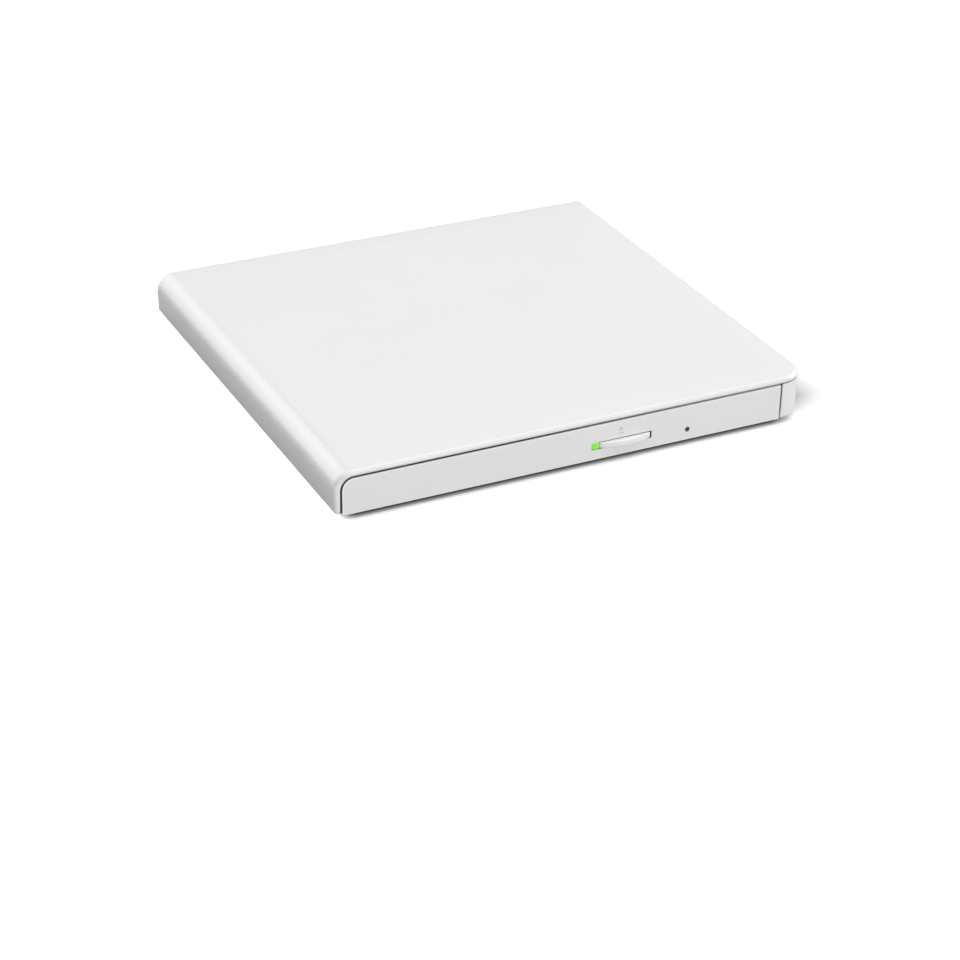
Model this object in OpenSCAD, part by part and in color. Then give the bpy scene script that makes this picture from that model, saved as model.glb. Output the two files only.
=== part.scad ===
// External disc drive: a slim tray drive in a white plastic case.
// Millimetres, +Z up, front at -Y, origin on the floor under the middle of the case.

/* [Disc] */
// Diameter of the disc that the tray takes
disc_d = 120; // [118:0.5:124]
// Thickness of the disc
disc_t = 1.2; // [1.1:0.05:1.3]
// Diameter of the hole in the disc
disc_hole_d = 15; // [14:0.5:16]
// Free room round the disc in the tray's well
well_gap = 1.2; // [0.8:0.1:1.6]

/* [Case] */
// Height of the feet below the case
foot_h = 1.5; // [1:0.1:3]
// Diameter of a foot
foot_d = 10; // [8:0.5:14]
// Distance of a foot's middle from the sides of the case
foot_inset = 14; // [12:0.5:20]
// Thickness of the lower case's floor
floor_t = 1.3; // [1.2:0.1:2]
// Thickness of the cover's top
cover_t = 1.6; // [1.5:0.1:2.4]
// Thickness of the side and rear walls
wall_t = 1.8; // [1.6:0.1:2.2]
// Outer radius of the cover's left shoulder
shoulder_r = 5.5; // [4.5:0.5:7]
// Radius of the front right corner, seen from above
corner_r = 8; // [4:0.5:8]
// Rounding of the cover's top edges
lip_r = 1.2; // [0.8:0.1:1.4]
// Chamfer round the lower case's underside
base_chamfer = 0.4; // [0.3:0.1:1]
// Width of the corner post beside the bezel
post_w = 8.4; // [8:0.1:12]
// Seam between the cover and the lower case
seam = 0.15; // [0.1:0.05:0.3]
// Diameter of the case screws
case_screw_d = 1.8; // [1.6:0.1:2.2]

/* [Front] */
// Thickness of the front bezel
bezel_t = 3.2; // [2.8:0.1:4]
// Gap round the bezel
bezel_gap = 0.45; // [0.3:0.05:0.7]
// How far the bezel reaches past the drive on each side
bezel_over = 2.45; // [2:0.05:3]
// Length of the eject button
button_l = 15.9; // [12:0.1:20]
// Height of the eject button
button_h = 2; // [1.8:0.1:2.6]
// How far the button bulges out in its middle
button_bulge = 1.5; // [0.6:0.1:2]
// Button's travel
button_travel = 0.6; // [0.3:0.1:0.7]
// Place of the button's middle, right of the case's middle
button_x = 14; // [8:0.5:20]
// Height of the button's middle above the case's underside
button_up = 4.1; // [3.8:0.1:4.6]
// Width of the status light beside the button
led_w = 2.4; // [2:0.1:3]
// Diameter of the emergency eject hole
pinhole_d = 1.2; // [1:0.1:1.4]
// Distance of the emergency eject hole from the lock pin
pinhole_in = 7.3; // [6.2:0.1:8.2]

/* [Drive] */
// Height of the slim drive inside
drive_h = 9.5; // [9.4:0.1:12.7]
// Thickness of the drive's sheet steel
sheet_t = 0.5; // [0.4:0.05:0.6]
// Length of the tray's travel
tray_travel = 128; // [100:1:132]
// Length of a slide rail
rail_l = 100; // [90:1:110]
// Height of a slide rail
rail_h = 2.4; // [2:0.1:2.6]
// Width of a slide rail
rail_w = 2.9; // [2.7:0.1:3.2]
// Thickness of the tray's deck
deck_t = 1; // [0.9:0.05:1.2]
// Thickness of the tray's rim beside the disc
rim_t = 1.4; // [1:0.1:2]

/* [Mechanism] */
// Distance of the lens from the spindle at its inner end
lens_in = 23.5; // [23:0.5:26]
// Diameter of the objective lens
lens_d = 3.8; // [3:0.1:4]
// Diameter of the pickup's guide shafts
shaft_d = 2; // [1.6:0.1:2.2]
// Diameter of the lead screw
screw_d = 2; // [1.6:0.1:2.2]
// Diameter of the spindle motor's rotor
rotor_d = 23; // [20:0.5:24]
// Diameter of the turntable under the disc
turntable_d = 29; // [27:0.5:30]
// Swing of the lock lever between free and locked
lock_swing = 13; // [11:1:15]

/* [Sockets] */
// Width of the USB socket's metal shell
usb_w = 7.7; // [7:0.1:8.4]
// Height of the USB socket's metal shell
usb_h = 3.9; // [3.4:0.1:4.2]
// Length of the USB socket's metal shell
usb_l = 9.2; // [8:0.1:10]
// Thickness of the circuit boards
board_t = 0.8; // [0.6:0.1:1]

/* [Hidden] */
$fn = 64;

// Clearances
touch = 0.05;
slide_gap = 0.1;
run_gap = 0.3;
bore_gap = 0.03;
over = 1;

// The tray's width is the disc, its rim and the rails' walls, and the drive and the case follow from it
sheet_gap = 0.1;
well_r = disc_d / 2 + well_gap;
tray_hw = well_r + rim_t;
pan_hw = tray_hw + run_gap + sheet_t;
drive_w = 2 * (pan_hw + sheet_gap + sheet_t);
well_front = 1.6;
drive_d = well_front + 2 * well_r + 2;
bezel_w = drive_w + 2 * bezel_over;
bezel_back = 1;
board_room = 5.5;
case_w = wall_t + 2 * bezel_gap + bezel_w + post_w;
case_d = bezel_t + bezel_back + drive_d + board_room + wall_t;
case_h = foot_h + floor_t + 2 * touch + drive_h + cover_t;

// Case planes
x0 = -case_w / 2;
x1 = case_w / 2;
y0 = -case_d / 2;
y1 = case_d / 2;
floor_z0 = foot_h;
floor_z1 = foot_h + floor_t;
cover_z0 = case_h - cover_t;
inner_x0 = x0 + wall_t;
inner_x1 = x1 - wall_t;
inner_y1 = y1 - wall_t;
bezel_x0 = inner_x0 + bezel_gap;
bezel_x1 = bezel_x0 + bezel_w;
bezel_y1 = y0 + bezel_t;
bezel_z1 = cover_z0 - bezel_gap;
post_x0 = bezel_x1 + bezel_gap;
inner_r = 3.7;

// Drive planes
drive_x = (bezel_x0 + bezel_x1) / 2;
drive_y0 = bezel_y1 + bezel_back;
drive_y1 = drive_y0 + drive_d;
drive_z0 = floor_z1 + touch;
drive_z1 = drive_z0 + drive_h;
pan_z1 = drive_z0 + sheet_t;
pan_y1 = drive_y1 - sheet_t - sheet_gap;
lid_z0 = drive_z1 - sheet_t;
disc_y = drive_y0 + well_front + well_r;

// Tray levels, down from the lid: room over the disc, the disc, room under it, the deck
seat_z = lid_z0 - 0.85 - disc_t;
deck_z1 = seat_z - 0.8;
deck_z0 = deck_z1 - deck_t;
rim_z1 = lid_z0 - 0.65;
tray_z0 = pan_z1 + 0.6;
tray_y0 = bezel_y1 + touch;
tray_room = 8.6;
tray_y1 = pan_y1 - tray_room;
front_wall_t = 1.5;
front_wall_y1 = tray_y0 + front_wall_t;

// Slide section on each side: guide, rail and the tray's groove, from the outside in
rail_z0 = pan_z1 + 1.45;
rail_z1 = rail_z0 + rail_h;
guide_lip = 0.8;
guide_z1 = rail_z1 + slide_gap + guide_lip;
guide_x1 = pan_hw - sheet_t - touch;
guide_web = 0.85;
rail_x1 = guide_x1 - guide_web - slide_gap;
rail_x0 = rail_x1 - rail_w;
guide_x0 = rail_x1 - 1.6;
skirt_x1 = guide_x0 - 0.2;
skirt_x0 = rail_x0 - slide_gap - 1.2;
flange_z0 = guide_z1 + run_gap;
rail_y0 = drive_y0 + 1.2;

// Traverse: u runs outwards along the pickup's path, v across it, both from the spindle
sled_angle = 225;
lens_out = disc_d / 2 - 2.5;
shaft_z = deck_z0 - 2;
shaft_r = shaft_d / 2;
frame_t = 0.8;
frame_z1 = shaft_z - 1.3;
frame_z0 = frame_z1 - frame_t;
main_v = 20.5;
sub_v = -19.5;
screw_v = 26;
tab_t = 1.5;
pickup_in = lens_in - 11;
pickup_out = lens_in + 2.8;
main_u0 = pickup_in - 3;
main_u1 = lens_out + 4.5;
sub_u0 = pickup_in;
sub_u1 = lens_out;
fork_u0 = lens_in - 8;
fork_u1 = lens_in - 3;
screw_u0 = 5;
screw_u1 = lens_out - 0.5;
frame_u1 = lens_out + 8.5;
damper_z1 = deck_z0 - 0.6;
damper_h = 2.5;
damper_r = 2.5;
damper_groove_r = 1.7;
damper_neck = [(damper_h - frame_t) / 2, (damper_h + frame_t) / 2];
damper_screw_r = 0.7;
damper_screw_z1 = deck_z0 + 0.2;
damper_places = [[-12.5, -18], [-12.5, 18], [frame_u1 + 3.5, 0]];
carriage_z0 = frame_z0 + 0.1;
carriage_z1 = deck_z0 - 0.4;
actuator_z1 = deck_z1 - 0.3;
keyhole_r = turntable_d / 2 + 0.9;
slot_hv = 9;
cover_plate_t = 0.4;

// Spindle levels
rotor_r = rotor_d / 2;
rotor_t = 0.6;
hub_r = disc_hole_d / 2 - 0.1;
ring_t = 0.4;
turntable_t = 0.3;
rotor_z1 = seat_z - ring_t - turntable_t;
hub_z1 = lid_z0 - 0.35;
motor_base_t = 0.4;
ball_r = 0.8;
ball_z = seat_z + disc_t - 0.05;
ball_reach = hub_r + 0.2 - ball_r;

// Lock: a pin on the pan, and a lever on the tray with its tooth behind the pin
lock_in = 13.7;
lock_x = drive_x + skirt_x0 - lock_in;
lock_y = drive_y0 + 18;
pinhole_x = lock_x - pinhole_in;
lock_pin_r = 1.2;
lever_z0 = tray_z0 + 0.25;
lever_t = 1;
lever_pivot = [4.5, -8];
lever_pin_r = 0.9;

// Ejector behind the tray, left of the middle
ejector_in = 12.7;
ejector_x = drive_x - skirt_x0 + ejector_in;
ejector_z = pan_z1 + 2.25;
ejector_r = 1.2;
ejector_travel = 12;
ejector_hold = 7.1;
ejector_y1 = pan_y1 - sheet_t - 1;
ejector_y0 = ejector_y1 - ejector_travel - ejector_hold;
lug_t = 3;
rod_y0 = ejector_y0 - 2.5;
rod_head_t = 1.2;

// Boards and the flat cable's U between the pan and the tray
cable_w = 10;
cable_t = 0.2;
cable_in = 22.7;
cable_x0 = drive_x + skirt_x0 - cable_in;
cable_z0 = pan_z1 + touch;
main_board_z1 = deck_z0 - run_gap;
main_board_z0 = main_board_z1 - board_t;
socket_t = 1;
cable_z1 = main_board_z0 - socket_t / 2 + cable_t / 2;
tray_socket_in = 12;
tray_socket_y = tray_y1 - tray_socket_in;
cable_slack = 2;
cable_bend_y = tray_socket_y - (tray_travel + cable_slack) / 2;
rear_board_in = 11.6;
rear_board_y0 = pan_y1 - rear_board_in;
rear_board_z0 = pan_z1 + 0.4;
bridge_z0 = floor_z1 + 2.2;
bridge_x0 = drive_x + drive_w / 2 + 0.6;
bridge_x1 = inner_x1 - 0.6;
bridge_y1 = inner_y1 - 0.4;
bridge_rear_y0 = drive_y1 + 0.7;
usb_x = (bridge_x0 + bridge_x1) / 2;
usb_wall = 0.3;
plug_in = 30.7;
plug_x0 = drive_x + skirt_x0 - plug_in;
plug_w = 20;

// Case screws: two in the right-hand channel, two behind the drive
boss_r = 2.1;
screw_head_r = 1.8;
screw_head_h = 0.6;
case_screw_r = case_screw_d / 2;
channel_x = inner_x1 - boss_r - 1;
rear_y = inner_y1 - boss_r - 0.5;
screw_places = [
    [channel_x, y0 + 24], [channel_x, 6],
    [inner_x0 + boss_r + 0.4, rear_y], [drive_x, rear_y],
];
case_screw_l = 6;
foot_places = [for (x = [x0 + foot_inset, x1 - foot_inset], y = [y0 + foot_inset, y1 - foot_inset]) [x, y]];
foot_pocket = 0.4;

// Button and light: one slot in the bezel
button_z0 = floor_z0 + button_up - button_h / 2;
button_x0 = button_x - button_l / 2;
button_x1 = button_x + button_l / 2;
front_gap = 0.1;
led_x1 = button_x0 - front_gap;
led_x0 = led_x1 - led_w;
slot_x0 = led_x0 - front_gap;
slot_x1 = button_x1 + front_gap;
slot_z0 = button_z0 - front_gap;
slot_z1 = button_z0 + button_h + front_gap;
pinhole_z = floor_z0 + 3.15;
stem_y1 = front_wall_y1 + 0.05;
plunger_y0 = stem_y1 + button_travel + 0.15;

// Box between two corners
module block(a, b) {
    translate(a) cube(b - a);
}

// Flat rectangle with round corners
module round_rect(a, b, r) {
    translate([a.x + r, a.y]) square([b.x - a.x - 2 * r, b.y - a.y]);
    translate([a.x, a.y + r]) square([b.x - a.x, b.y - a.y - 2 * r]);
    for (x = [a.x + r, b.x - r], y = [a.y + r, b.y - r])
        translate([x, y]) circle(r);
}

// Cylinder along X or Y from a point
module x_rod(p, r, l) {
    translate(p) rotate([0, 90, 0]) cylinder(r = r, h = l);
}
module y_rod(p, r, l) {
    translate(p) rotate([-90, 0, 0]) cylinder(r = r, h = l);
}

// Flat shape in X and Z carried along Y
module along_y(from, to) {
    translate([0, to, 0]) rotate([90, 0, 0]) linear_extrude(to - from) children();
}

// The drive's own middle, and its mirror image for the left side
module on_drive() {
    translate([drive_x, 0, 0]) children();
}
module left_side() {
    mirror([1, 0, 0]) children();
}

// The spindle's own middle, with u along X and v along Y
module on_traverse() {
    translate([drive_x, disc_y, 0]) rotate(sled_angle) children();
}

// Plan of the lower case: its left edge lies inside the cover's wall, its front right corner is round
module case_plan(inset, left) {
    r = corner_r - inset;
    a = [left, y0 + inset];
    b = [x1 - inset, y1 - inset];
    translate(a) square([b.x - r - a.x, b.y - a.y]);
    translate([b.x - r, a.y + r]) square([r, b.y - a.y - r]);
    translate([b.x - r, a.y + r]) circle(r);
}

// Inside of the cover in X and Z: open below and to the right, round under the left shoulder
module cover_inside() {
    translate([inner_x0 + inner_r, -over]) square([x1 - inner_x0 - inner_r + over, cover_z0 + over]);
    translate([inner_x0, -over]) square([2 * inner_r, cover_z0 - inner_r + over]);
    translate([inner_x0 + inner_r, cover_z0 - inner_r]) circle(inner_r);
}

// What the cover's inner shoulder takes from a corner that stands in it
module shoulder_corner(gap) {
    difference() {
        translate([inner_x0 - over, cover_z0 - inner_r]) square(inner_r + over);
        translate([inner_x0 + inner_r, cover_z0 - inner_r]) circle(inner_r - gap);
    }
}

// Cover: a top plate with a rounded front edge that turns down into the left wall
snap_l = 10;
snap_t = 1;
snap_nib = 0.6;
snap_z = [floor_z1 + 2.9, floor_z1 + 4.2];
snap_ys = [y0 + 25, 0, y1 - 25];
// Quarter of a disc, for a rounded edge
module quarter(r) {
    intersection() {
        circle(r);
        square(r);
    }
}

// Plan of the cover's top, right of the shoulder
module top_plan(inset) {
    middle = [x1 - corner_r, y0 + corner_r];
    translate([x0 + shoulder_r, y0 + inset]) square([middle.x - x0 - shoulder_r, case_d - 2 * inset]);
    translate(middle) square([corner_r - inset, y1 - lip_r - middle.y]);
    translate(middle) circle(corner_r - inset);
    if (inset < lip_r) {
        translate([middle.x, y1 - lip_r - touch]) square([corner_r - lip_r, lip_r - inset + touch]);
        translate([x1 - lip_r, y1 - lip_r]) circle(lip_r - inset);
    }
}
module cover_top() {
    rim_z = case_h - lip_r;
    translate([0, 0, cover_z0]) linear_extrude(cover_t - lip_r) top_plan(0);
    translate([0, 0, rim_z]) linear_extrude(lip_r) top_plan(lip_r);
    translate([x0 + shoulder_r, y0 + lip_r, rim_z]) rotate([90, 0, 90])
        linear_extrude(case_w - shoulder_r - corner_r) mirror([1, 0, 0]) quarter(lip_r);
    translate([x0 + shoulder_r, y1 - lip_r, rim_z]) rotate([90, 0, 90])
        linear_extrude(case_w - shoulder_r - lip_r) quarter(lip_r);
    along_y(y0 + corner_r, y1 - lip_r) translate([x1 - lip_r, rim_z]) quarter(lip_r);
    translate([x1 - corner_r, y0 + corner_r, rim_z]) rotate(-90)
        rotate_extrude(angle = 90) translate([corner_r - lip_r, 0]) quarter(lip_r);
    translate([x1 - lip_r, y1 - lip_r, rim_z]) rotate_extrude(angle = 90) quarter(lip_r);
}
module cover_shoulder() {
    z = case_h - shoulder_r;
    along_y(y0 + lip_r, y1 - lip_r) translate([x0 + shoulder_r, z]) mirror([1, 0, 0]) quarter(shoulder_r);
    for (s = [0, 1]) mirror([0, s, 0]) {
        along_y(y0, y0 + lip_r) translate([x0 + shoulder_r, z]) mirror([1, 0, 0]) quarter(shoulder_r - lip_r);
        translate([x0 + shoulder_r, y0 + lip_r, z]) rotate([90, 0, 0]) rotate(90)
            rotate_extrude(angle = 90) translate([shoulder_r - lip_r, 0]) quarter(lip_r);
    }
}
module cover_wall() {
    z0 = floor_z0 + 0.35;
    end_r = wall_t / 2;
    intersection() {
        along_y(y0, y1) {
            translate([x0, z0 + end_r]) square([wall_t, case_h - shoulder_r - z0 - end_r]);
            translate([x0 + end_r, z0 + end_r]) circle(end_r);
        }
        linear_extrude(case_h) {
            translate([x0 + lip_r, y0]) square([wall_t, case_d]);
            translate([x0, y0 + lip_r]) square([wall_t, case_d - 2 * lip_r]);
            for (y = [y0 + lip_r, y1 - lip_r]) translate([x0 + lip_r, y]) circle(lip_r);
        }
    }
}
module top_cover() {
    color("white") {
        difference() {
            union() {
                cover_top();
                cover_shoulder();
                cover_wall();
            }
            along_y(y0 - over, y1 + over) cover_inside();
            for (y = snap_ys)
                block([inner_x0 - snap_nib - 0.2, y - snap_l / 2 - slide_gap, snap_z[0] - slide_gap],
                    [inner_x0 + over, y + snap_l / 2 + slide_gap, snap_z[1] + slide_gap]);
        }
        for (p = screw_places)
            difference() {
                translate([p.x, p.y, floor_z1 + touch]) cylinder(r = boss_r, h = cover_z0 - floor_z1);
                translate([p.x, p.y, 0]) cylinder(r = case_screw_r + bore_gap, h = floor_z0 + case_screw_l + run_gap);
            }
    }
}

// What the chamfer takes off round the lower case's underside
module edge_cut() {
    c = base_chamfer;
    polygon([[-c, 0], [0, c], [over, c], [over, -over], [-c, -over]]);
}
module base_edges() {
    along_y(y0 + corner_r, y1 + over) translate([x1, floor_z0]) edge_cut();
    translate([x0 - over, y1, floor_z0]) rotate([90, 0, 90]) linear_extrude(case_w + 2 * over) edge_cut();
    translate([x0 - over, y0, floor_z0]) rotate([90, 0, 90])
        linear_extrude(case_w - corner_r + over) mirror([1, 0, 0]) edge_cut();
    translate([x1 - corner_r, y0 + corner_r, floor_z0]) rotate(-90)
        rotate_extrude(angle = 90) translate([corner_r, 0]) edge_cut();
}

// Lower case: floor, right and rear walls and the corner post beside the bezel
module bottom_case() {
    case_left = inner_x0 + seam;
    wall_z1 = cover_z0 - seam;
    floor_y0 = bezel_y1 + bezel_gap;
    post_l = 14;
    boss_hole_r = 0.8;
    color("white") difference() {
        union() {
            difference() {
                translate([0, 0, floor_z0]) linear_extrude(wall_z1 - floor_z0) case_plan(0, case_left);
                base_edges();
                translate([0, 0, floor_z1]) linear_extrude(case_h) case_plan(wall_t, x0 - over);
                block([x0 - over, y0 - over, 0], [post_x0, floor_y0, case_h]);
            }
            block([post_x0, y0 + wall_t / 2, floor_z1 - touch], [post_x0 + wall_t, y0 + post_l, wall_z1]);
            for (y = snap_ys) {
                block([case_left, y - snap_l / 2, floor_z1 - touch], [case_left + snap_t, y + snap_l / 2, snap_z[1]]);
                block([inner_x0 - snap_nib, y - snap_l / 2, snap_z[0]], [case_left + snap_t, y + snap_l / 2, snap_z[1]]);
            }
            for (p = [[usb_x, bridge_y1 - 38], [plug_x0 - 6, rear_y]])
                translate([p.x, p.y, floor_z1 - touch]) cylinder(r = 1.9, h = bridge_z0 - floor_z1 + touch);
        }
        for (p = screw_places) {
            translate([p.x, p.y, 0]) cylinder(r = screw_head_r + slide_gap, h = floor_z0 + screw_head_h + touch);
            translate([p.x, p.y, 0]) cylinder(r = case_screw_r + 0.15, h = floor_z1 + over);
        }
        for (p = foot_places)
            translate([p.x, p.y, 0]) cylinder(r = foot_d / 2 + slide_gap, h = floor_z0 + foot_pocket);
        along_y(y0 - over, y1 + over) shoulder_corner(seam);
        block([usb_x - usb_w / 2 - 0.2, inner_y1 - over, bridge_z0 + board_t - 0.2],
            [usb_x + usb_w / 2 + 0.2, y1 + over, bridge_z0 + board_t + usb_h + 0.2]);
    }
}

// Feet: four rubber pads with a round lower edge, let into the floor
module rubber_feet() {
    r = foot_d / 2;
    edge_r = 0.5;
    color("lightgrey") for (p = foot_places)
        translate([p.x, p.y, 0]) rotate_extrude() {
            square([r - edge_r, foot_h + foot_pocket]);
            translate([0, edge_r]) square([r, foot_h + foot_pocket - edge_r]);
            translate([r - edge_r, edge_r]) circle(edge_r);
        }
}

// Case screws, from below through the floor into the cover's bosses
module case_screws() {
    color("dimgrey") for (p = screw_places)
        translate([p.x, p.y, floor_z0]) {
            cylinder(r = screw_head_r, h = screw_head_h);
            cylinder(r = case_screw_r, h = case_screw_l);
        }
}

// Drive's lid: a steel sheet with skirts on three sides and pressed stiffening beads
module upper_shell() {
    hw = drive_w / 2;
    skirt_z0 = lid_z0 - 4.5;
    bend_r = sheet_t + 0.2;
    bead_w = 6;
    bead_h = 0.2;
    color("silver") on_drive() difference() {
        union() {
            along_y(drive_y0, drive_y1) difference() {
                union() {
                    translate([-hw + bend_r, skirt_z0]) square([2 * (hw - bend_r), drive_z1 - skirt_z0]);
                    translate([-hw, skirt_z0]) square([2 * hw, drive_z1 - bend_r - skirt_z0]);
                    for (s = [-1, 1])
                        translate([s * (hw - bend_r), drive_z1 - bend_r]) circle(bend_r);
                }
                translate([-hw + sheet_t, skirt_z0 - over]) square([2 * (hw - sheet_t), lid_z0 - skirt_z0 + over]);
            }
            block([-hw + sheet_t / 2, drive_y1 - sheet_t, skirt_z0], [hw - sheet_t / 2, drive_y1, lid_z0 + touch]);
        }
        for (x = [-hw / 2, hw / 2])
            translate([0, 0, drive_z1 - bead_h]) linear_extrude(over)
                round_rect([x - bead_w / 2, drive_y0 + 18], [x + bead_w / 2, drive_y1 - 18], bead_w / 2 - touch);
        translate([-drive_x, 0, 0])
            block([plug_x0 - 1, drive_y1 - over, 0], [plug_x0 + plug_w + 1, drive_y1 + over, bridge_z0 + board_t + 3.4]);
        for (y = shell_screw_ys, s = [-1, 1])
            x_rod([s * hw - over, y, shell_screw_z], shell_screw_r + touch, 2 * over);
    }
}

// Drive's pan: a steel tray with walls on three sides
module lower_shell() {
    wall_z1 = lid_z0 - 0.15;
    color("lightgrey") on_drive() difference() {
        union() {
            block([-pan_hw, drive_y0, drive_z0], [pan_hw, pan_y1, pan_z1]);
            for (x = [-pan_hw, pan_hw - sheet_t])
                block([x, drive_y0, drive_z0], [x + sheet_t, pan_y1, wall_z1]);
            block([-pan_hw, pan_y1 - sheet_t, drive_z0], [pan_hw, pan_y1, wall_z1]);
        }
        translate([-drive_x, 0, 0])
            block([plug_x0 - 1, pan_y1 - over, rear_board_z0 + board_t - touch],
                [plug_x0 + plug_w + 1, pan_y1 + over, bridge_z0 + board_t + 3.4]);
        for (y = shell_screw_ys, s = [-1, 1])
            x_rod([s * pan_hw - over, y, shell_screw_z], shell_screw_r + touch, 2 * over);
    }
}

// Shell screws: two on each side, through the lid's skirt into the pan's wall
shell_screw_r = 0.8;
shell_screw_z = lid_z0 - 2.2;
shell_screw_ys = [drive_y0 + 30, drive_y1 - 14];
module shell_screws() {
    head_r = 1.5;
    head_h = 0.5;
    color("dimgrey") on_drive() for (y = shell_screw_ys, s = [-1, 1]) {
        hw = drive_w / 2;
        inside = pan_hw - sheet_t;
        x_rod([s > 0 ? inside : -hw, y, shell_screw_z], shell_screw_r, hw - inside);
        x_rod([s > 0 ? hw : -hw - head_h, y, shell_screw_z], head_r, head_h);
    }
}

// Guide: a plastic channel on the pan's wall, open towards the tray
module guide() {
    difference() {
        block([guide_x0, drive_y0 + 0.5, pan_z1 + touch], [guide_x1, pan_y1 - sheet_t - 0.5, guide_z1]);
        block([guide_x0 - over, drive_y0, rail_z0 - slide_gap],
            [rail_x1 + slide_gap, pan_y1 - sheet_t - 3, rail_z1 + slide_gap]);
    }
}
module left_guide() {
    color("ivory") on_drive() left_side() guide();
}
module right_guide() {
    color("ivory") on_drive() guide();
}

// Rail: a steel slide, half in the guide and half in the tray's groove, hollow along its inner face
module rail() {
    hollow = 0.5;
    lip = 0.6;
    difference() {
        block([rail_x0, rail_y0, rail_z0], [rail_x1, rail_y0 + rail_l, rail_z1]);
        block([rail_x0 - over, rail_y0 + 4, rail_z0 + lip], [rail_x0 + hollow, rail_y0 + rail_l - 4, rail_z1 - lip]);
    }
}
module left_rail() {
    color("silver") on_drive() left_side() rail();
}
module right_rail() {
    color("silver") on_drive() rail();
}

// Lock pin, riveted to the pan
module lock_pin() {
    color("silver") translate([lock_x, lock_y, pan_z1]) {
        cylinder(r = 2, h = 0.4);
        cylinder(r = lock_pin_r, h = lever_z0 + lever_t + 0.2 - pan_z1);
    }
}

// Ejector: a sprung rod in a housing on the pan that pushes the tray's lug
module ejector_housing() {
    hw = 3;
    spring_r = ejector_r + 0.8;
    color("ivory") difference() {
        block([ejector_x - hw, ejector_y0, pan_z1], [ejector_x + hw, ejector_y1, ejector_z + spring_r + 0.25]);
        y_rod([ejector_x, ejector_y0 - over, ejector_z], ejector_r + slide_gap, case_d);
        y_rod([ejector_x, ejector_y0 + 1.2, ejector_z], spring_r, ejector_y1 - ejector_y0 - 2.4);
    }
}
spring_turns = 9;
spring_wire_r = 0.22;
spring_coil_r = ejector_r + 0.42;
spring_y0 = ejector_y0 + 1.2 + spring_wire_r + touch;
spring_y1 = ejector_y1 - 1.2 - spring_wire_r - touch;
spring_steps = 8 * spring_turns;
spring_sides = 6;
function spring_point(i, j) =
    let (a = 360 * i * spring_turns / spring_steps, b = 360 * j / spring_sides)
    let (r = spring_coil_r + spring_wire_r * cos(b))
    [r * cos(a), spring_y0 + (spring_y1 - spring_y0) * i / spring_steps + spring_wire_r * sin(b), r * sin(a)];
module ejector_spring() {
    points = [for (i = [0 : spring_steps], j = [0 : spring_sides - 1]) spring_point(i, j)];
    ring = function(i) [for (j = [0 : spring_sides - 1]) i * spring_sides + j];
    sides = [for (i = [0 : spring_steps - 1], j = [0 : spring_sides - 1])
        let (a = i * spring_sides + j, b = i * spring_sides + (j + 1) % spring_sides)
        each [[a, a + spring_sides, b], [b, a + spring_sides, b + spring_sides]]];
    first = ring(0);
    last = ring(spring_steps);
    caps = [for (j = [1 : spring_sides - 2]) each
        [[first[0], first[j], first[j + 1]], [last[0], last[j + 1], last[j]]]];
    color("silver") translate([ejector_x, 0, ejector_z]) polyhedron(points, concat(sides, caps));
}
module ejector_rod() {
    color("white") {
        y_rod([ejector_x, rod_y0 - rod_head_t, ejector_z], ejector_r + 0.5, rod_head_t);
        y_rod([ejector_x, rod_y0, ejector_z], ejector_r, ejector_y1 - rod_y0 - 0.8);
    }
}

// Rear board in the drive, with the drive's own socket and the flat cable's socket
module rear_board() {
    color("darkgreen") difference() {
        block([plug_x0 - 4, rear_board_y0, rear_board_z0], [plug_x0 + plug_w + 4, pan_y1 - sheet_t - touch,
            rear_board_z0 + board_t]);
        for (x = [plug_x0 - 2, plug_x0 + plug_w + 2])
            translate([x, rear_board_y0 + 2, 0]) cylinder(r = 0.8, h = case_h);
    }
    for (x = [plug_x0 - 2, plug_x0 + plug_w + 2])
        color("silver") translate([x, rear_board_y0 + 5, pan_z1]) cylinder(r = 1, h = rear_board_z0 - pan_z1);
}
module rear_socket() {
    z = rear_board_z0 + board_t;
    z1 = bridge_z0 + board_t + 2.8;
    color("black") difference() {
        block([plug_x0, pan_y1 - 4.5, z], [plug_x0 + plug_w, pan_y1 + sheet_gap, z1]);
        block([plug_x0 + 1, pan_y1 - 3.5, z1 - 2.2], [plug_x0 + plug_w - 1, pan_y1 + over, z1 - 1]);
    }
}
module rear_cable_socket() {
    z = rear_board_z0 + board_t;
    color("ivory") block([cable_x0 - 1.5, rear_board_y0 + 0.5, z], [cable_x0 + cable_w + 1.5, rear_board_y0 + 4, z + 1]);
}

// Flat cable: along the pan, round a U and back to the tray
module flat_cable() {
    r = (cable_z1 - cable_z0) / 2;
    fixed_y = rear_board_y0 - touch;
    color("white") translate([cable_x0, 0, 0]) rotate([90, 0, 90]) linear_extrude(cable_w) {
        translate([cable_bend_y, cable_z0]) square([fixed_y - cable_bend_y, cable_t]);
        translate([cable_bend_y, cable_z1 - cable_t]) square([tray_socket_y - cable_bend_y - touch, cable_t]);
        intersection() {
            translate([cable_bend_y - r - over, cable_z0]) square([r + over, 2 * r]);
            translate([cable_bend_y, cable_z0 + r]) difference() {
                circle(r);
                circle(r - cable_t);
            }
        }
    }
}

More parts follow.
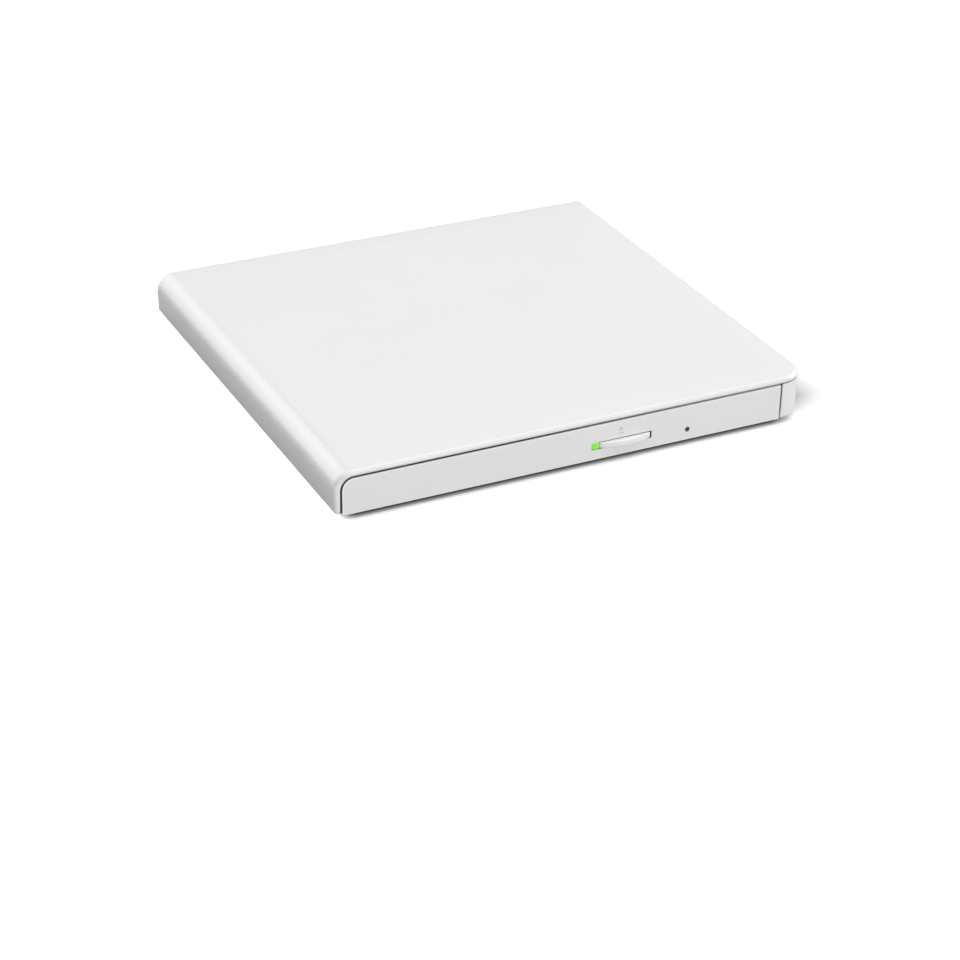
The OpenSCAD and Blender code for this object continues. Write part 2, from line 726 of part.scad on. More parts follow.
// Bridge board behind the drive: an L with the USB socket, the drive's plug and a chip
module bridge_board() {
    z1 = bridge_z0 + board_t;
    color("darkgreen") difference() {
        union() {
            block([bridge_x0, bridge_y1 - 42, bridge_z0], [bridge_x1, bridge_y1, z1]);
            block([plug_x0 - 9, bridge_rear_y0, bridge_z0], [bridge_x1, bridge_y1, z1]);
        }
        for (p = [[usb_x, bridge_y1 - 38], [plug_x0 - 6, rear_y]])
            translate([p.x, p.y, 0]) cylinder(r = 0.9, h = case_h);
    }
}
module bridge_chip() {
    w = 6;
    z = bridge_z0 + board_t;
    color("black") translate([usb_x - w / 2, bridge_y1 - 28, z]) {
        translate([0.3, 0.3, 0]) cube([w - 0.6, w - 0.6, 1]);
        for (i = [0 : 5], s = [0, 1])
            translate([s * (w - 0.4), 0.7 + i * 0.9, 0]) cube([0.4, 0.35, 0.3]);
    }
}
module bridge_plug() {
    z = bridge_z0 + board_t;
    color("black") {
        block([plug_x0, drive_y1 + 0.4, z], [plug_x0 + plug_w, bridge_y1 - 0.4, z + 3]);
        block([plug_x0 + 1.3, pan_y1 - 3, z + 0.8], [plug_x0 + plug_w - 1.3, drive_y1 + 0.4, z + 1.6]);
    }
}

// USB socket: a folded steel shell, narrower below, and its contact tongue
module usb_outline(grow) {
    w = usb_w / 2 - grow;
    h = usb_h - 2 * grow;
    step = usb_h * 0.3;
    neck = w - 0.8;
    polygon([[-neck, 0], [neck, 0], [neck, step], [w, step + 0.7], [w, h], [-w, h], [-w, step + 0.7], [-neck, step]]);
}
module usb_shell() {
    z = bridge_z0 + board_t;
    color("silver") translate([usb_x, 0, z]) difference() {
        along_y(y1 - usb_l, y1 - 0.1) usb_outline(0);
        translate([0, 0, usb_wall]) along_y(y1 - usb_l + usb_wall, y1 + over) usb_outline(usb_wall);
    }
}
module usb_tongue() {
    z = bridge_z0 + board_t + usb_wall + 1.5;
    hw = usb_w / 2 - 1.6;
    color("black") {
        block([usb_x - hw, y1 - usb_l + 1.4, z], [usb_x + hw, y1 - 1, z + 0.8]);
        block([usb_x - hw, y1 - usb_l + usb_wall, bridge_z0 + board_t + usb_wall], [usb_x + hw, y1 - usb_l + 1.5,
            bridge_z0 + board_t + usb_h - usb_wall - touch]);
    }
}

// Tray: a deck with a round well, a rim, grooved skirts and a front wall that carries the bezel
clip_in = 11.7;
clip_xs = [drive_x - skirt_x0 + clip_in, drive_x + skirt_x0 - clip_in];
clip_hw = 4;
clip_z = [floor_z0 + 3.6, floor_z0 + 4.8];
board_post_r = 1.6;
board_l = 40;
board_w = 25;
board_x0 = drive_x + skirt_x0 - 7.7 - board_l;
board_y0 = tray_y1 - 5 - board_w;
board_posts = [for (p = [[3, 3], [37, 3], [3, 22]]) [board_x0 + p.x, board_y0 + p.y]];
module keyhole(r, hv, u1) {
    circle(r);
    translate([0, -hv]) square([u1, 2 * hv]);
}
module cover_plan(gap) {
    intersection() {
        round_rect([-23 - gap, -24 - gap], [well_r, 24 + gap], 5);
        circle(well_r - 0.8 + gap);
    }
}
module tray() {
    roof_z0 = rim_z1 - 1;
    hollow_r = well_r + 1.4;
    color("gainsboro") difference() {
        union() {
            difference() {
                on_drive() {
                    block([-tray_hw, tray_y0, flange_z0], [tray_hw, tray_y1, rim_z1]);
                    block([-skirt_x1, tray_y0, deck_z0], [skirt_x1, tray_y1, rim_z1]);
                    block([-skirt_x1, tray_y0, tray_z0], [skirt_x1, front_wall_y1, deck_z0]);
                    for (x = [-skirt_x1, skirt_x0])
                        block([x, tray_y0, tray_z0], [x + skirt_x1 - skirt_x0, tray_y1, deck_z0]);
                }
                on_drive() {
                    translate([0, disc_y, deck_z1]) cylinder(r = well_r, h = case_h);
                    difference() {
                        block([-skirt_x0, front_wall_y1, deck_z0 - over], [skirt_x0, tray_y1 - 1.4, roof_z0]);
                        translate([0, disc_y, 0]) cylinder(r = hollow_r, h = case_h);
                    }
                    for (s = [0, 1]) mirror([s, 0, 0])
                        block([rail_x0 - slide_gap, front_wall_y1, rail_z0 - slide_gap],
                            [tray_hw + over, tray_y1 + over, rail_z1 + slide_gap]);
                }
                on_traverse() {
                    translate([0, 0, deck_z0 - over]) linear_extrude(case_h)
                        keyhole(keyhole_r + 0.6, slot_hv + 0.6, well_r - 0.2);
                    translate([0, 0, deck_z1 - cover_plate_t - touch]) linear_extrude(case_h) cover_plan(0.2);
                }
                block([slot_x0 - run_gap, tray_y0 - over, slot_z0 - 0.8],
                    [slot_x1 + 2, front_wall_y1 + over, slot_z1 + 0.8]);
                y_rod([pinhole_x, tray_y0 - over, pinhole_z], pinhole_d / 2 + 0.2, front_wall_t + 2 * over);
                for (x = clip_xs)
                    block([x - clip_hw - 0.2, tray_y0 - over, clip_z[0] - 0.2],
                        [x + clip_hw + 0.2, front_wall_y1 + over, clip_z[1] + 0.1]);
            }
            on_traverse() for (i = [0 : 2]) let (p = damper_places[i], top = i < 2 ? deck_z0 + touch : roof_z0 + touch)
                translate([p.x, p.y, damper_z1]) cylinder(r = damper_r, h = top - damper_z1);
            translate([lock_x + lever_pivot.x, lock_y + lever_pivot.y, 0]) {
                translate([0, 0, lever_z0 + lever_t + touch]) cylinder(r = 1.7, h = roof_z0 - lever_z0 - lever_t);
                translate([0, 0, lever_z0 - touch]) cylinder(r = lever_pin_r, h = deck_z0 - lever_z0);
            }
            block([ejector_x - 3, rod_y0 - rod_head_t - lug_t - touch, ejector_z - 1.4],
                [ejector_x + 3, rod_y0 - rod_head_t - touch, deck_z0 + touch]);
            for (p = board_posts)
                translate([p.x, p.y, main_board_z1])
                    cylinder(r = board_post_r, h = deck_z0 - main_board_z1 + touch);
        }
        on_traverse() for (p = damper_places)
            translate([p.x, p.y, 0]) cylinder(r = damper_screw_r + bore_gap, h = damper_screw_z1 + 0.1);
    }
}

// Bezel: the tray's front, with a slot for the button and light, a pinhole and two clips
module front_bezel() {
    shoulder = inner_r - bezel_gap;
    edge_r = 0.4;
    color("whitesmoke") difference() {
        union() {
            along_y(y0, bezel_y1) {
                translate([bezel_x0 + shoulder, floor_z0]) square([bezel_w - shoulder - edge_r, bezel_z1 - floor_z0]);
                translate([bezel_x0, floor_z0]) square([bezel_w, bezel_z1 - floor_z0 - shoulder]);
                translate([bezel_x0 + shoulder, bezel_z1 - shoulder]) circle(shoulder);
                translate([bezel_x1 - shoulder, floor_z0]) square([shoulder, bezel_z1 - floor_z0 - edge_r]);
                translate([bezel_x1 - edge_r, bezel_z1 - edge_r]) circle(edge_r);
            }
            for (x = clip_xs) {
                block([x - clip_hw, bezel_y1 - touch, clip_z[0]], [x + clip_hw, front_wall_y1 + 0.9, clip_z[1]]);
                block([x - clip_hw, front_wall_y1 + touch, clip_z[0]], [x + clip_hw, front_wall_y1 + 0.9, clip_z[1] + 0.6]);
            }
        }
        block([slot_x0, y0 - over, slot_z0], [slot_x1, bezel_y1 + over, slot_z1]);
        y_rod([pinhole_x, y0 - over, pinhole_z], pinhole_d / 2, bezel_t + 2 * over);
    }
}

// Eject button: flat behind, bowed in front, with a stem to the switch and a flange behind the bezel
module eject_button() {
    bow_r = (pow(button_l / 2, 2) + pow(button_bulge, 2)) / (2 * button_bulge);
    stem_hw = 1.5;
    color("white") {
        translate([0, 0, button_z0]) linear_extrude(button_h) intersection() {
            translate([button_x0, y0 - button_bulge - over]) square([button_l, bezel_t + button_bulge + over]);
            union() {
                translate([button_x, y0 - button_bulge + bow_r]) circle(bow_r);
                translate([button_x0, y0]) square([button_l, bezel_t]);
            }
        }
        block([button_x0, bezel_y1, button_z0], [button_x1, bezel_y1 + 0.6, button_z0 + button_h]);
        block([button_x + 2, bezel_y1 + 0.1, button_z0 - 0.5], [button_x1 + 1.2, bezel_y1 + 0.6, button_z0 + button_h + 0.5]);
        block([button_x - stem_hw, bezel_y1, button_z0 + 0.2], [button_x + stem_hw, stem_y1, button_z0 + button_h - 0.2]);
    }
}

// Status light: a clear pipe in the bezel's slot and the lamp behind it
module led_lens() {
    color("lightgreen") {
        block([led_x0, y0, button_z0], [led_x1, front_wall_y1, button_z0 + button_h]);
        block([led_x0 - run_gap, bezel_y1 + touch, button_z0 - 0.5],
            [led_x1 - touch, bezel_y1 + 0.6, button_z0 + button_h + 0.5]);
    }
}
module status_led() {
    color("palegreen") block([led_x0 + 0.4, front_wall_y1 + 0.2, button_z0 + 0.3],
        [led_x1 - 0.4, front_wall_y1 + 1.2, main_board_z0]);
}
module switch_board() {
    color("darkgreen") block([led_x0 - 2, front_wall_y1 + touch, main_board_z0],
        [pinhole_x - 4, front_wall_y1 + 8, main_board_z1]);
    for (x = [led_x0, button_x + 6])
        color("gainsboro") translate([x, front_wall_y1 + 6, main_board_z1]) cylinder(r = 1, h = deck_z0 - main_board_z1);
}
module eject_switch() {
    z = button_z0 + button_h / 2;
    color("black") {
        block([button_x - 2, plunger_y0 + 0.5, button_z0], [button_x + 2, plunger_y0 + 3.5, main_board_z0]);
        y_rod([button_x, plunger_y0, z], 0.7, 1);
    }
}

// Main board under the tray's deck, its chips and the flat cable's socket
module main_board() {
    color("darkgreen") translate([0, 0, main_board_z0]) linear_extrude(board_t) difference() {
        round_rect([board_x0, board_y0], [board_x0 + board_l, board_y0 + board_w], 1);
        for (p = board_posts)
            translate(p) circle(0.7);
    }
}
module main_chips() {
    h = 0.9;
    color("black") for (c = [[17, 5, 10, 10], [17, 18, 7, 5], [5.5, 6, 4, 8]])
        translate([cable_x0 - c[0], board_y0 + c[1], main_board_z0 - h]) cube([c[2], c[3], h]);
}
module tray_cable_socket() {
    color("ivory") block([cable_x0 - 1.5, tray_socket_y, main_board_z0 - socket_t],
        [cable_x0 + cable_w + 1.5, tray_socket_y + 3.5, main_board_z0]);
}

// Mechanism cover: a steel plate let into the tray's deck, with a keyhole for the turntable and the pickup
module mechanism_cover() {
    color("dimgrey") on_traverse() translate([0, 0, deck_z1 - cover_plate_t]) linear_extrude(cover_plate_t) difference() {
        cover_plan(0);
        keyhole(keyhole_r, slot_hv, well_r);
    }
}

// Traverse frame: a steel plate round the pickup's window, with tabs for the shafts and three raised ears
module frame_tab(u, v, w, t) {
    translate([u, v - w / 2, frame_z1 - touch]) cube([t, w, shaft_z + shaft_r + 0.5 - frame_z1]);
}
module frame_room(inset) {
    rotate(-sled_angle) translate([-skirt_x0 + inset, front_wall_y1 + inset - disc_y]) square([2 * skirt_x0, case_d]);
}
module traverse_frame() {
    edge = 0.8;
    border = 1.3;
    ear_z0 = damper_z1 - damper_h + damper_neck[0] + slide_gap / 2;
    ear_z1 = damper_z1 - damper_h + damper_neck[1] - slide_gap / 2;
    ear_r = 4;
    end_hv = 5;
    main_tab_w = 5;
    color("silver") on_traverse() difference() {
        union() {
            translate([0, 0, frame_z0]) linear_extrude(frame_t) difference() {
                intersection() {
                    union() {
                        translate([-17, -26]) square([frame_u1 + 17, 57]);
                        translate([0, -end_hv]) square([frame_u1 + 7, 2 * end_hv]);
                    }
                    frame_room(edge);
                }
                intersection() {
                    union() {
                        translate([pickup_in - 0.4, -17]) square([frame_u1 - pickup_in - 2.6, 34.5]);
                        translate([main_u0 + tab_t + 0.2, 16]) square([main_u1 - main_u0 - 2 * tab_t - 0.4, 7.6]);
                        translate([sub_u0 + tab_t + 0.2, -22.6]) square([sub_u1 - sub_u0 - 2 * tab_t - 0.4, 6]);
                        translate([-8, screw_v - 3.3]) square([screw_u0 + 8.2, 6.6]);
                    }
                    frame_room(edge + border);
                }
            }
            for (u = [main_u0, main_u1 - tab_t]) frame_tab(u, main_v, main_tab_w, tab_t);
            for (u = [sub_u0, sub_u1 - tab_t]) frame_tab(u, sub_v, main_tab_w, tab_t);
            for (u = [screw_u0 + 0.6, screw_u1]) frame_tab(u, screw_v, 4.4, 1);
            for (p = damper_places)
                translate([p.x, p.y, frame_z0]) cylinder(r = ear_r, h = ear_z1 - frame_z0);
        }
        for (p = damper_places) {
            translate([p.x, p.y, 0]) cylinder(r = damper_groove_r + touch, h = case_h);
            translate([p.x, p.y, 0]) cylinder(r = ear_r - frame_t, h = ear_z0);
        }
        x_rod([0, main_v, shaft_z], shaft_r + bore_gap, case_d);
        x_rod([0, sub_v, shaft_z], shaft_r + bore_gap, case_d);
        x_rod([0, screw_v, shaft_z], screw_d / 2 + 0.1, case_d);
    }
}

// Dampers: rubber spools round the frame's ears, and the screws that hold them to the tray
module dampers() {
    z0 = damper_z1 - damper_h;
    color("darkslategrey") on_traverse() for (p = damper_places)
        translate([p.x, p.y, z0]) rotate_extrude() difference() {
            translate([damper_screw_r + touch, 0]) square([damper_r - damper_screw_r - touch, damper_h]);
            translate([damper_groove_r, damper_neck[0]]) square([damper_r, damper_neck[1] - damper_neck[0]]);
        }
}
module damper_screws() {
    head_r = 1.8;
    head_h = 0.5;
    z0 = damper_z1 - damper_h;
    color("dimgrey") on_traverse() for (p = damper_places) translate([p.x, p.y, 0]) {
        translate([0, 0, z0 - head_h]) cylinder(r = head_r, h = head_h);
        translate([0, 0, z0 - head_h]) cylinder(r = damper_screw_r, h = damper_screw_z1 - z0 + head_h);
    }
}

// Spindle motor: a base with the bearing post, the stator round it and the rotor over both
bearing_r = 2.4;
spindle_r = 1;
rotor_z0 = frame_z1 + motor_base_t + 0.4;
module motor_base() {
    z = frame_z1;
    color("darkgreen") on_traverse() difference() {
        union() {
            translate([0, 0, z]) cylinder(r = rotor_r + 0.6, h = motor_base_t);
            block([-16, -8, z], [0, 8, z + motor_base_t]);
            translate([0, 0, z]) cylinder(r = bearing_r, h = rotor_z1 - rotor_t - run_gap - z);
        }
        translate([0, 0, z + 0.2]) cylinder(r = spindle_r + bore_gap, h = case_h);
    }
}
module stator() {
    poles = 9;
    inner = bearing_r + touch;
    outer = rotor_r - 1.2;
    shoe_t = 0.8;
    z0 = rotor_z0 + 0.1;
    z1 = rotor_z1 - rotor_t - 0.8;
    color("peru") on_traverse() translate([0, 0, z0]) linear_extrude(z1 - z0) difference() {
        union() {
            circle(bearing_r + 1.6);
            for (i = [0 : poles - 1]) rotate(i * 360 / poles) {
                translate([0, -0.9]) square([outer - shoe_t / 2, 1.8]);
                intersection() {
                    difference() {
                        circle(outer);
                        circle(outer - shoe_t);
                    }
                    translate([0, -2.6]) square([outer + over, 5.2]);
                }
            }
        }
        circle(inner);
    }
    color("silver") on_traverse() translate([0, 0, frame_z1 + motor_base_t]) difference() {
        cylinder(r = bearing_r + 1.2, h = z0 - frame_z1 - motor_base_t + touch);
        cylinder(r = inner, h = case_h);
    }
}
module rotor() {
    wall = 0.7;
    color("silver") on_traverse() difference() {
        translate([0, 0, rotor_z0]) cylinder(r = rotor_r, h = rotor_z1 - rotor_z0);
        translate([0, 0, rotor_z0 - over]) cylinder(r = rotor_r - wall, h = rotor_z1 - rotor_t - rotor_z0 + over);
        cylinder(r = spindle_r + touch / 2, h = case_h);
    }
}
module spindle_shaft() {
    z0 = frame_z1 + motor_base_t + 0.1;
    color("silver") on_traverse() translate([0, 0, z0]) cylinder(r = spindle_r, h = rotor_z1 - z0);
}

// Turntable and hub, the rubber ring that the disc lies on and the balls that hold it
module turntable() {
    nose_r = hub_r - 1.1;
    nose_h = 0.5;
    color("dimgrey") on_traverse() difference() {
        translate([0, 0, rotor_z1]) rotate_extrude() {
            square([turntable_d / 2, turntable_t]);
            square([hub_r, hub_z1 - nose_h - rotor_z1]);
            polygon([[0, 0], [hub_r, 0], [hub_r, hub_z1 - nose_h - rotor_z1], [nose_r, hub_z1 - rotor_z1],
                [0, hub_z1 - rotor_z1]]);
        }
        for (i = [0 : 2]) rotate(i * 120) translate([ball_reach, 0, ball_z]) sphere(ball_r + touch);
        translate([0, 0, hub_z1 - 0.4]) cylinder(r = 3, h = over);
    }
}
module friction_ring() {
    color("darkslategrey") on_traverse() translate([0, 0, rotor_z1 + turntable_t]) difference() {
        cylinder(r = turntable_d / 2, h = ring_t);
        translate([0, 0, -over]) cylinder(r = turntable_d / 2 - 2.2, h = case_h);
    }
}
module hub_balls() {
    color("silver") on_traverse() for (i = [0 : 2])
        rotate(i * 120) translate([ball_reach, 0, ball_z]) sphere(ball_r);
}

// Guide shafts for the pickup
module main_shaft() {
    color("silver") on_traverse() x_rod([main_u0, main_v, shaft_z], shaft_r, main_u1 - main_u0);
}
module sub_shaft() {
    color("silver") on_traverse() x_rod([sub_u0, sub_v, shaft_z], shaft_r, sub_u1 - sub_u0);
}

// Sled motor: a flat-sided can on the frame, and the lead screw that it turns
module sled_motor() {
    r = 3;
    flat = 1.65;
    back_u = -7.5;
    plate_hv = 2.2;
    plate_t = 0.55;
    color("silver") on_traverse() difference() {
        union() {
            intersection() {
                x_rod([back_u, screw_v, shaft_z], r, screw_u0 - back_u);
                block([back_u - over, screw_v - r - over, shaft_z - flat],
                    [screw_u0 + over, screw_v + r + over, shaft_z + flat]);
            }
            block([screw_u0 - touch, screw_v - plate_hv, frame_z1 + touch],
                [screw_u0 + plate_t, screw_v + plate_hv, shaft_z + flat - slide_gap]);
        }
        x_rod([screw_u0 - 2, screw_v, shaft_z], screw_d / 2 + slide_gap, case_d);
    }
}
module lead_screw() {
    color("silver") on_traverse() x_rod([screw_u0 - 1.9, screw_v, shaft_z], screw_d / 2, screw_u1 + 1 - screw_u0 + 1.9);
}

// Pickup: a cast carriage on the two shafts, hollow round the spindle, with a well for the lens holder
holder_u = [-2.75, 2.1];
holder_hv = 4.4;
holder_gap = 0.25;
module pickup_body() {
    color("slategrey") on_traverse() difference() {
        union() {
            block([pickup_in, -15.5, carriage_z0], [pickup_out, 16.5, carriage_z1]);
            block([main_u0 + tab_t + 0.4, 16.4, carriage_z0], [lens_in + 1, main_v + 2.4, carriage_z1]);
            block([fork_u0, sub_v - 2.6, shaft_z - 1.6], [fork_u1, -15.4, shaft_z + 1.5]);
        }
        translate([0, 0, -over]) cylinder(r = rotor_r + 1.4, h = case_h);
        x_rod([0, main_v, shaft_z], shaft_r + bore_gap, case_d);
        block([main_u0 + 5.5, main_v - 1.4, 0], [lens_in - 3, main_v + 3, shaft_z]);
        block([fork_u0 - over, sub_v - 4, shaft_z - shaft_r - bore_gap], [fork_u1 + over, sub_v + shaft_r + 0.1,
            shaft_z + shaft_r + bore_gap]);
        block([lens_in + holder_u[0] - holder_gap, -holder_hv - holder_gap, carriage_z1 - 1],
            [lens_in + holder_u[1] + holder_gap, holder_hv + holder_gap, case_h]);
        translate([lens_in, 0, 0]) cylinder(r = lens_d / 2, h = case_h);
        for (v = [-12, 11])
            block([pickup_in + 3, v - 2.6, carriage_z1 - 0.8], [pickup_out - 2, v + 2.6, case_h]);
    }
}
module actuator_cover() {
    u0 = lens_in - 7.5;
    u1 = pickup_out;
    hv = 7.8;
    t = 0.3;
    color("silver") on_traverse() difference() {
        block([u0, -hv, carriage_z1 + touch], [u1, hv, actuator_z1]);
        block([u0 + t, -hv + t, 0], [u1 - t, hv - t, actuator_z1 - t]);
        block([lens_in + holder_u[0] - holder_gap, -holder_hv - holder_gap, 0],
            [lens_in + holder_u[1] + holder_gap, holder_hv + holder_gap, case_h]);
    }
}
module screw_follower() {
    v0 = main_v + 2.4 + touch;
    v1 = screw_v + 2;
    color("ivory") on_traverse() difference() {
        union() {
            block([fork_u0, v0, shaft_z], [fork_u1, v1, carriage_z1]);
            block([fork_u0 - 1.5, v0, carriage_z1 - 0.9], [fork_u1 + 2.5, v0 + 1, carriage_z1]);
        }
        x_rod([0, screw_v, shaft_z], screw_d / 2 + 0.2, case_d);
    }
}

// Lens holder on its springs, and the lens in it
holder_z0 = carriage_z1 - 0.3;
holder_z1 = actuator_z1 + 0.1;
lens_z1 = holder_z1 + 0.2;
module lens_holder() {
    color("black") on_traverse() difference() {
        block([lens_in + holder_u[0], -holder_hv, holder_z0], [lens_in + holder_u[1], holder_hv, holder_z1]);
        translate([lens_in, 0, 0]) cylinder(r = lens_d / 2 + touch / 2, h = case_h);
    }
}
module objective_lens() {
    r = lens_d / 2;
    bow = 0.45;
    bow_r = (r * r + bow * bow) / (2 * bow);
    color("lightblue") on_traverse() translate([lens_in, 0, 0]) intersection() {
        translate([0, 0, holder_z0 + 0.2]) cylinder(r = r, h = lens_z1 - holder_z0 - 0.2);
        translate([0, 0, lens_z1 - bow_r]) sphere(bow_r);
    }
}

// Lock lever, drawn free of the pin: it turns clockwise from above to unlock
module lock_lever() {
    hub = 2.2;
    arm_hw = 1;
    tooth_y = [-lever_pivot.y + lock_pin_r + 0.4, -lever_pivot.y + lock_pin_r + 2.4];
    tooth_x = -lever_pivot.x - 0.5;
    tail_x = pinhole_x - lock_x - lever_pivot.x - 1.5;
    color("ivory") translate([lock_x + lever_pivot.x, lock_y + lever_pivot.y, lever_z0]) rotate(-lock_swing)
        linear_extrude(lever_t) difference() {
            union() {
                circle(hub);
                translate([-arm_hw, 0]) square([2 * arm_hw, tooth_y[1]]);
                translate([tooth_x, tooth_y[0]]) square([arm_hw - tooth_x, tooth_y[1] - tooth_y[0]]);
                translate([tail_x, -arm_hw]) square([-tail_x, 2 * arm_hw]);
            }
            circle(lever_pin_r + bore_gap);
        }
}
module latch_solenoid() {
    x = pinhole_x;
    y = lock_y + lever_pivot.y + 5;
    hw = 3;
    l = 8.5;
    coil_r = 1.5;
    color("peru") {
        difference() {
            block([x - hw, y, lever_z0], [x + hw, y + l, deck_z0 - touch]);
            block([x - hw - over, y + 1, lever_z0 - over], [x + hw + over, y + l - 1, deck_z0 - 0.6]);
        }
        y_rod([x, y - 0.4, lever_z0 + 1.6], 0.8, l);
        y_rod([x, y + 0.9, lever_z0 + 1.6], coil_r, l - 1.8);
    }
}

top_cover();
bottom_case();
rubber_feet();
case_screws();
upper_shell();
lower_shell();
shell_screws();
left_guide();
right_guide();
lock_pin();
ejector_housing();
ejector_spring();
rear_board();
rear_socket();
rear_cable_socket();
flat_cable();
bridge_board();
bridge_chip();
bridge_plug();
usb_shell();
usb_tongue();
tray();
front_bezel();
led_lens();
status_led();
switch_board();
eject_switch();
main_board();
main_chips();
tray_cable_socket();
mechanism_cover();
traverse_frame();
dampers();
damper_screws();
motor_base();
stator();
main_shaft();
sub_shaft();
sled_motor();
latch_solenoid();
left_rail();
right_rail();
eject_button();
rotor();
spindle_shaft();
turntable();
friction_ring();
hub_balls();
pickup_body();
actuator_cover();
screw_follower();
lens_holder();
objective_lens();
lead_screw();
lock_lever();
ejector_rod();
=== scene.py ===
import math
import bmesh
import bpy
import numpy as np
from mathutils import Matrix, Vector


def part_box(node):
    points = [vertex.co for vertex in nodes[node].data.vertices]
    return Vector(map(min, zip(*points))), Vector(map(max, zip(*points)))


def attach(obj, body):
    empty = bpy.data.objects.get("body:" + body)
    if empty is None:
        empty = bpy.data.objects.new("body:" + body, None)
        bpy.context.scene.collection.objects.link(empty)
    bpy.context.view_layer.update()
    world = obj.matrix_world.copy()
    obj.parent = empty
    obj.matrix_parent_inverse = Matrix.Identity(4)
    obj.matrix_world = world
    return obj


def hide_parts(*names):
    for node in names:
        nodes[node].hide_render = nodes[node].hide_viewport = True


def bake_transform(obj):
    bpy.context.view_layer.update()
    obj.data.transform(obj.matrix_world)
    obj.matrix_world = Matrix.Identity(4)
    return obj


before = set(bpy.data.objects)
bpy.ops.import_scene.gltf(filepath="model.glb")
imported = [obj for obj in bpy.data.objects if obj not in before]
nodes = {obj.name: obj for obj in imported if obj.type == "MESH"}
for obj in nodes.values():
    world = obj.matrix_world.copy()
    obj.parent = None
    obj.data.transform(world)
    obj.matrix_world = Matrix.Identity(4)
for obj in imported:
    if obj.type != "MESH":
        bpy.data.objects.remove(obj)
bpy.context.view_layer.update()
mm = 0.001
fullTurn = 2 * math.pi
rightAngle = math.pi / 2
print("frame:", len(nodes), "nodes")


def nodeBox(name):
    low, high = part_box(name)
    return np.array(low) / mm, np.array(high) / mm  # in millimetres


# Camera, at the photograph's angle
cameraView = {
    "place": (-0.285741, -0.584484, 0.322589),
    "sight": (0.38833, 0.78340, -0.48526),
    "up": (0.19977, 0.44250, 0.87423),
    "lens": 92.8,
    "sensor": 36,
    "near": 0.01,
}


def makeCamera(view):
    data = bpy.data.cameras.new("camera")
    data.lens = view["lens"]
    data.sensor_width = view["sensor"]
    data.clip_start = view["near"]
    sight = Vector(view["sight"]).normalized()
    right = sight.cross(Vector(view["up"])).normalized()
    turn = Matrix((right, right.cross(sight), -sight)).transposed().to_4x4()
    camera = bpy.data.objects.new("camera", data)
    camera.matrix_world = Matrix.Translation(view["place"]) @ turn
    bpy.context.scene.collection.objects.link(camera)
    bpy.context.scene.camera = camera


makeCamera(cameraView)
bpy.context.scene.view_settings.view_transform = "Standard"
print("camera set")


# Shader node helpers
def plug(tree, value, socket):
    if isinstance(value, bpy.types.NodeSocket):
        tree.links.new(value, socket)
    else:
        socket.default_value = value


def addNode(tree, kind, values=None, **settings):
    node = tree.nodes.new("ShaderNode" + kind)
    for key, value in settings.items():
        setattr(node, key, value)
    for key, value in (values or {}).items():
        plug(tree, value, node.inputs[key])
    return node


def calc(tree, operation, a, b=0.0, clamp=False):
    return addNode(tree, "Math", {0: a, 1: b}, operation=operation, use_clamp=clamp).outputs[0]


def addShare(tree, base, value, share, clamp=False):
    return calc(tree, "ADD", base, calc(tree, "MULTIPLY", value, share), clamp)


def spread(tree, value, low, high, toLow, toHigh):
    return addNode(tree, "MapRange", {0: value, 1: low, 2: high, 3: toLow, 4: toHigh}).outputs[0]


def onPiece(tree):
    return addNode(tree, "TexCoord").outputs["Object"]


def noise(tree, place, scale, detail, **more):
    return addNode(tree, "TexNoise", {"Vector": place, "Scale": scale, "Detail": detail, **more}).outputs[0]


def mixColour(tree, factor, first, second):
    return addNode(tree, "Mix", {0: factor, 6: first, 7: second}, data_type="RGBA").outputs[2]


def ramp(tree, factor, stops):
    node = addNode(tree, "ValToRGB", {0: factor})
    line = node.color_ramp.elements
    while len(line) < len(stops):
        line.new(0.5)
    for stop, (place, colour) in zip(line, stops):
        stop.position = place
        stop.color = (*colour, 1)
    return node.outputs[0]


def bumped(tree, height, strength, distance):
    return addNode(tree, "Bump", {"Height": height, "Strength": strength, "Distance": distance}).outputs[0]


def newGroup(name, inputs, outputs):
    tree = bpy.data.node_groups.new(name, "ShaderNodeTree")
    for label, start in inputs.items():
        tree.interface.new_socket(label, in_out="INPUT", socket_type="NodeSocketFloat").default_value = start
    for label in outputs:
        tree.interface.new_socket(label, in_out="OUTPUT", socket_type="NodeSocketFloat")
    return tree, tree.nodes.new("NodeGroupInput").outputs, tree.nodes.new("NodeGroupOutput").inputs


def useGroup(tree, group, **values):
    node = tree.nodes.new("ShaderNodeGroup")
    node.node_tree = group
    for key, value in values.items():
        plug(tree, value, node.inputs[key])
    return node.outputs


def clearedTree(owner):
    owner.use_nodes = True
    owner.node_tree.nodes.clear()
    return owner.node_tree


# Fine spark-eroded grain of a mould: two noises, one of the grain's size and one three times as large
grainEffect = {"size": 0.0003, "larger": 3.0, "fineShare": 0.7, "broadShare": 0.3, "fineRough": 0.6}


def makeMouldGrain(effect):
    tree, given, result = newGroup("mouldGrain", {"Size": effect["size"]}, ["Height", "Shade"])
    place = onPiece(tree)
    scale = calc(tree, "DIVIDE", 1.0, given["Size"])
    fine = noise(tree, place, scale, 3.0, Roughness=effect["fineRough"])
    broad = noise(tree, place, calc(tree, "DIVIDE", scale, effect["larger"]), 2.0)
    fineHeight = calc(tree, "MULTIPLY", fine, effect["fineShare"])
    plug(tree, addShare(tree, fineHeight, broad, effect["broadShare"]), result["Height"])
    plug(tree, broad, result["Shade"])
    return tree


# Slow change of shade over a moulding or a sheet, with smaller waves on it
mottleEffect = {"size": 0.03, "between": (0.3, 0.7), "rough": 0.55, "distortion": 0.4}


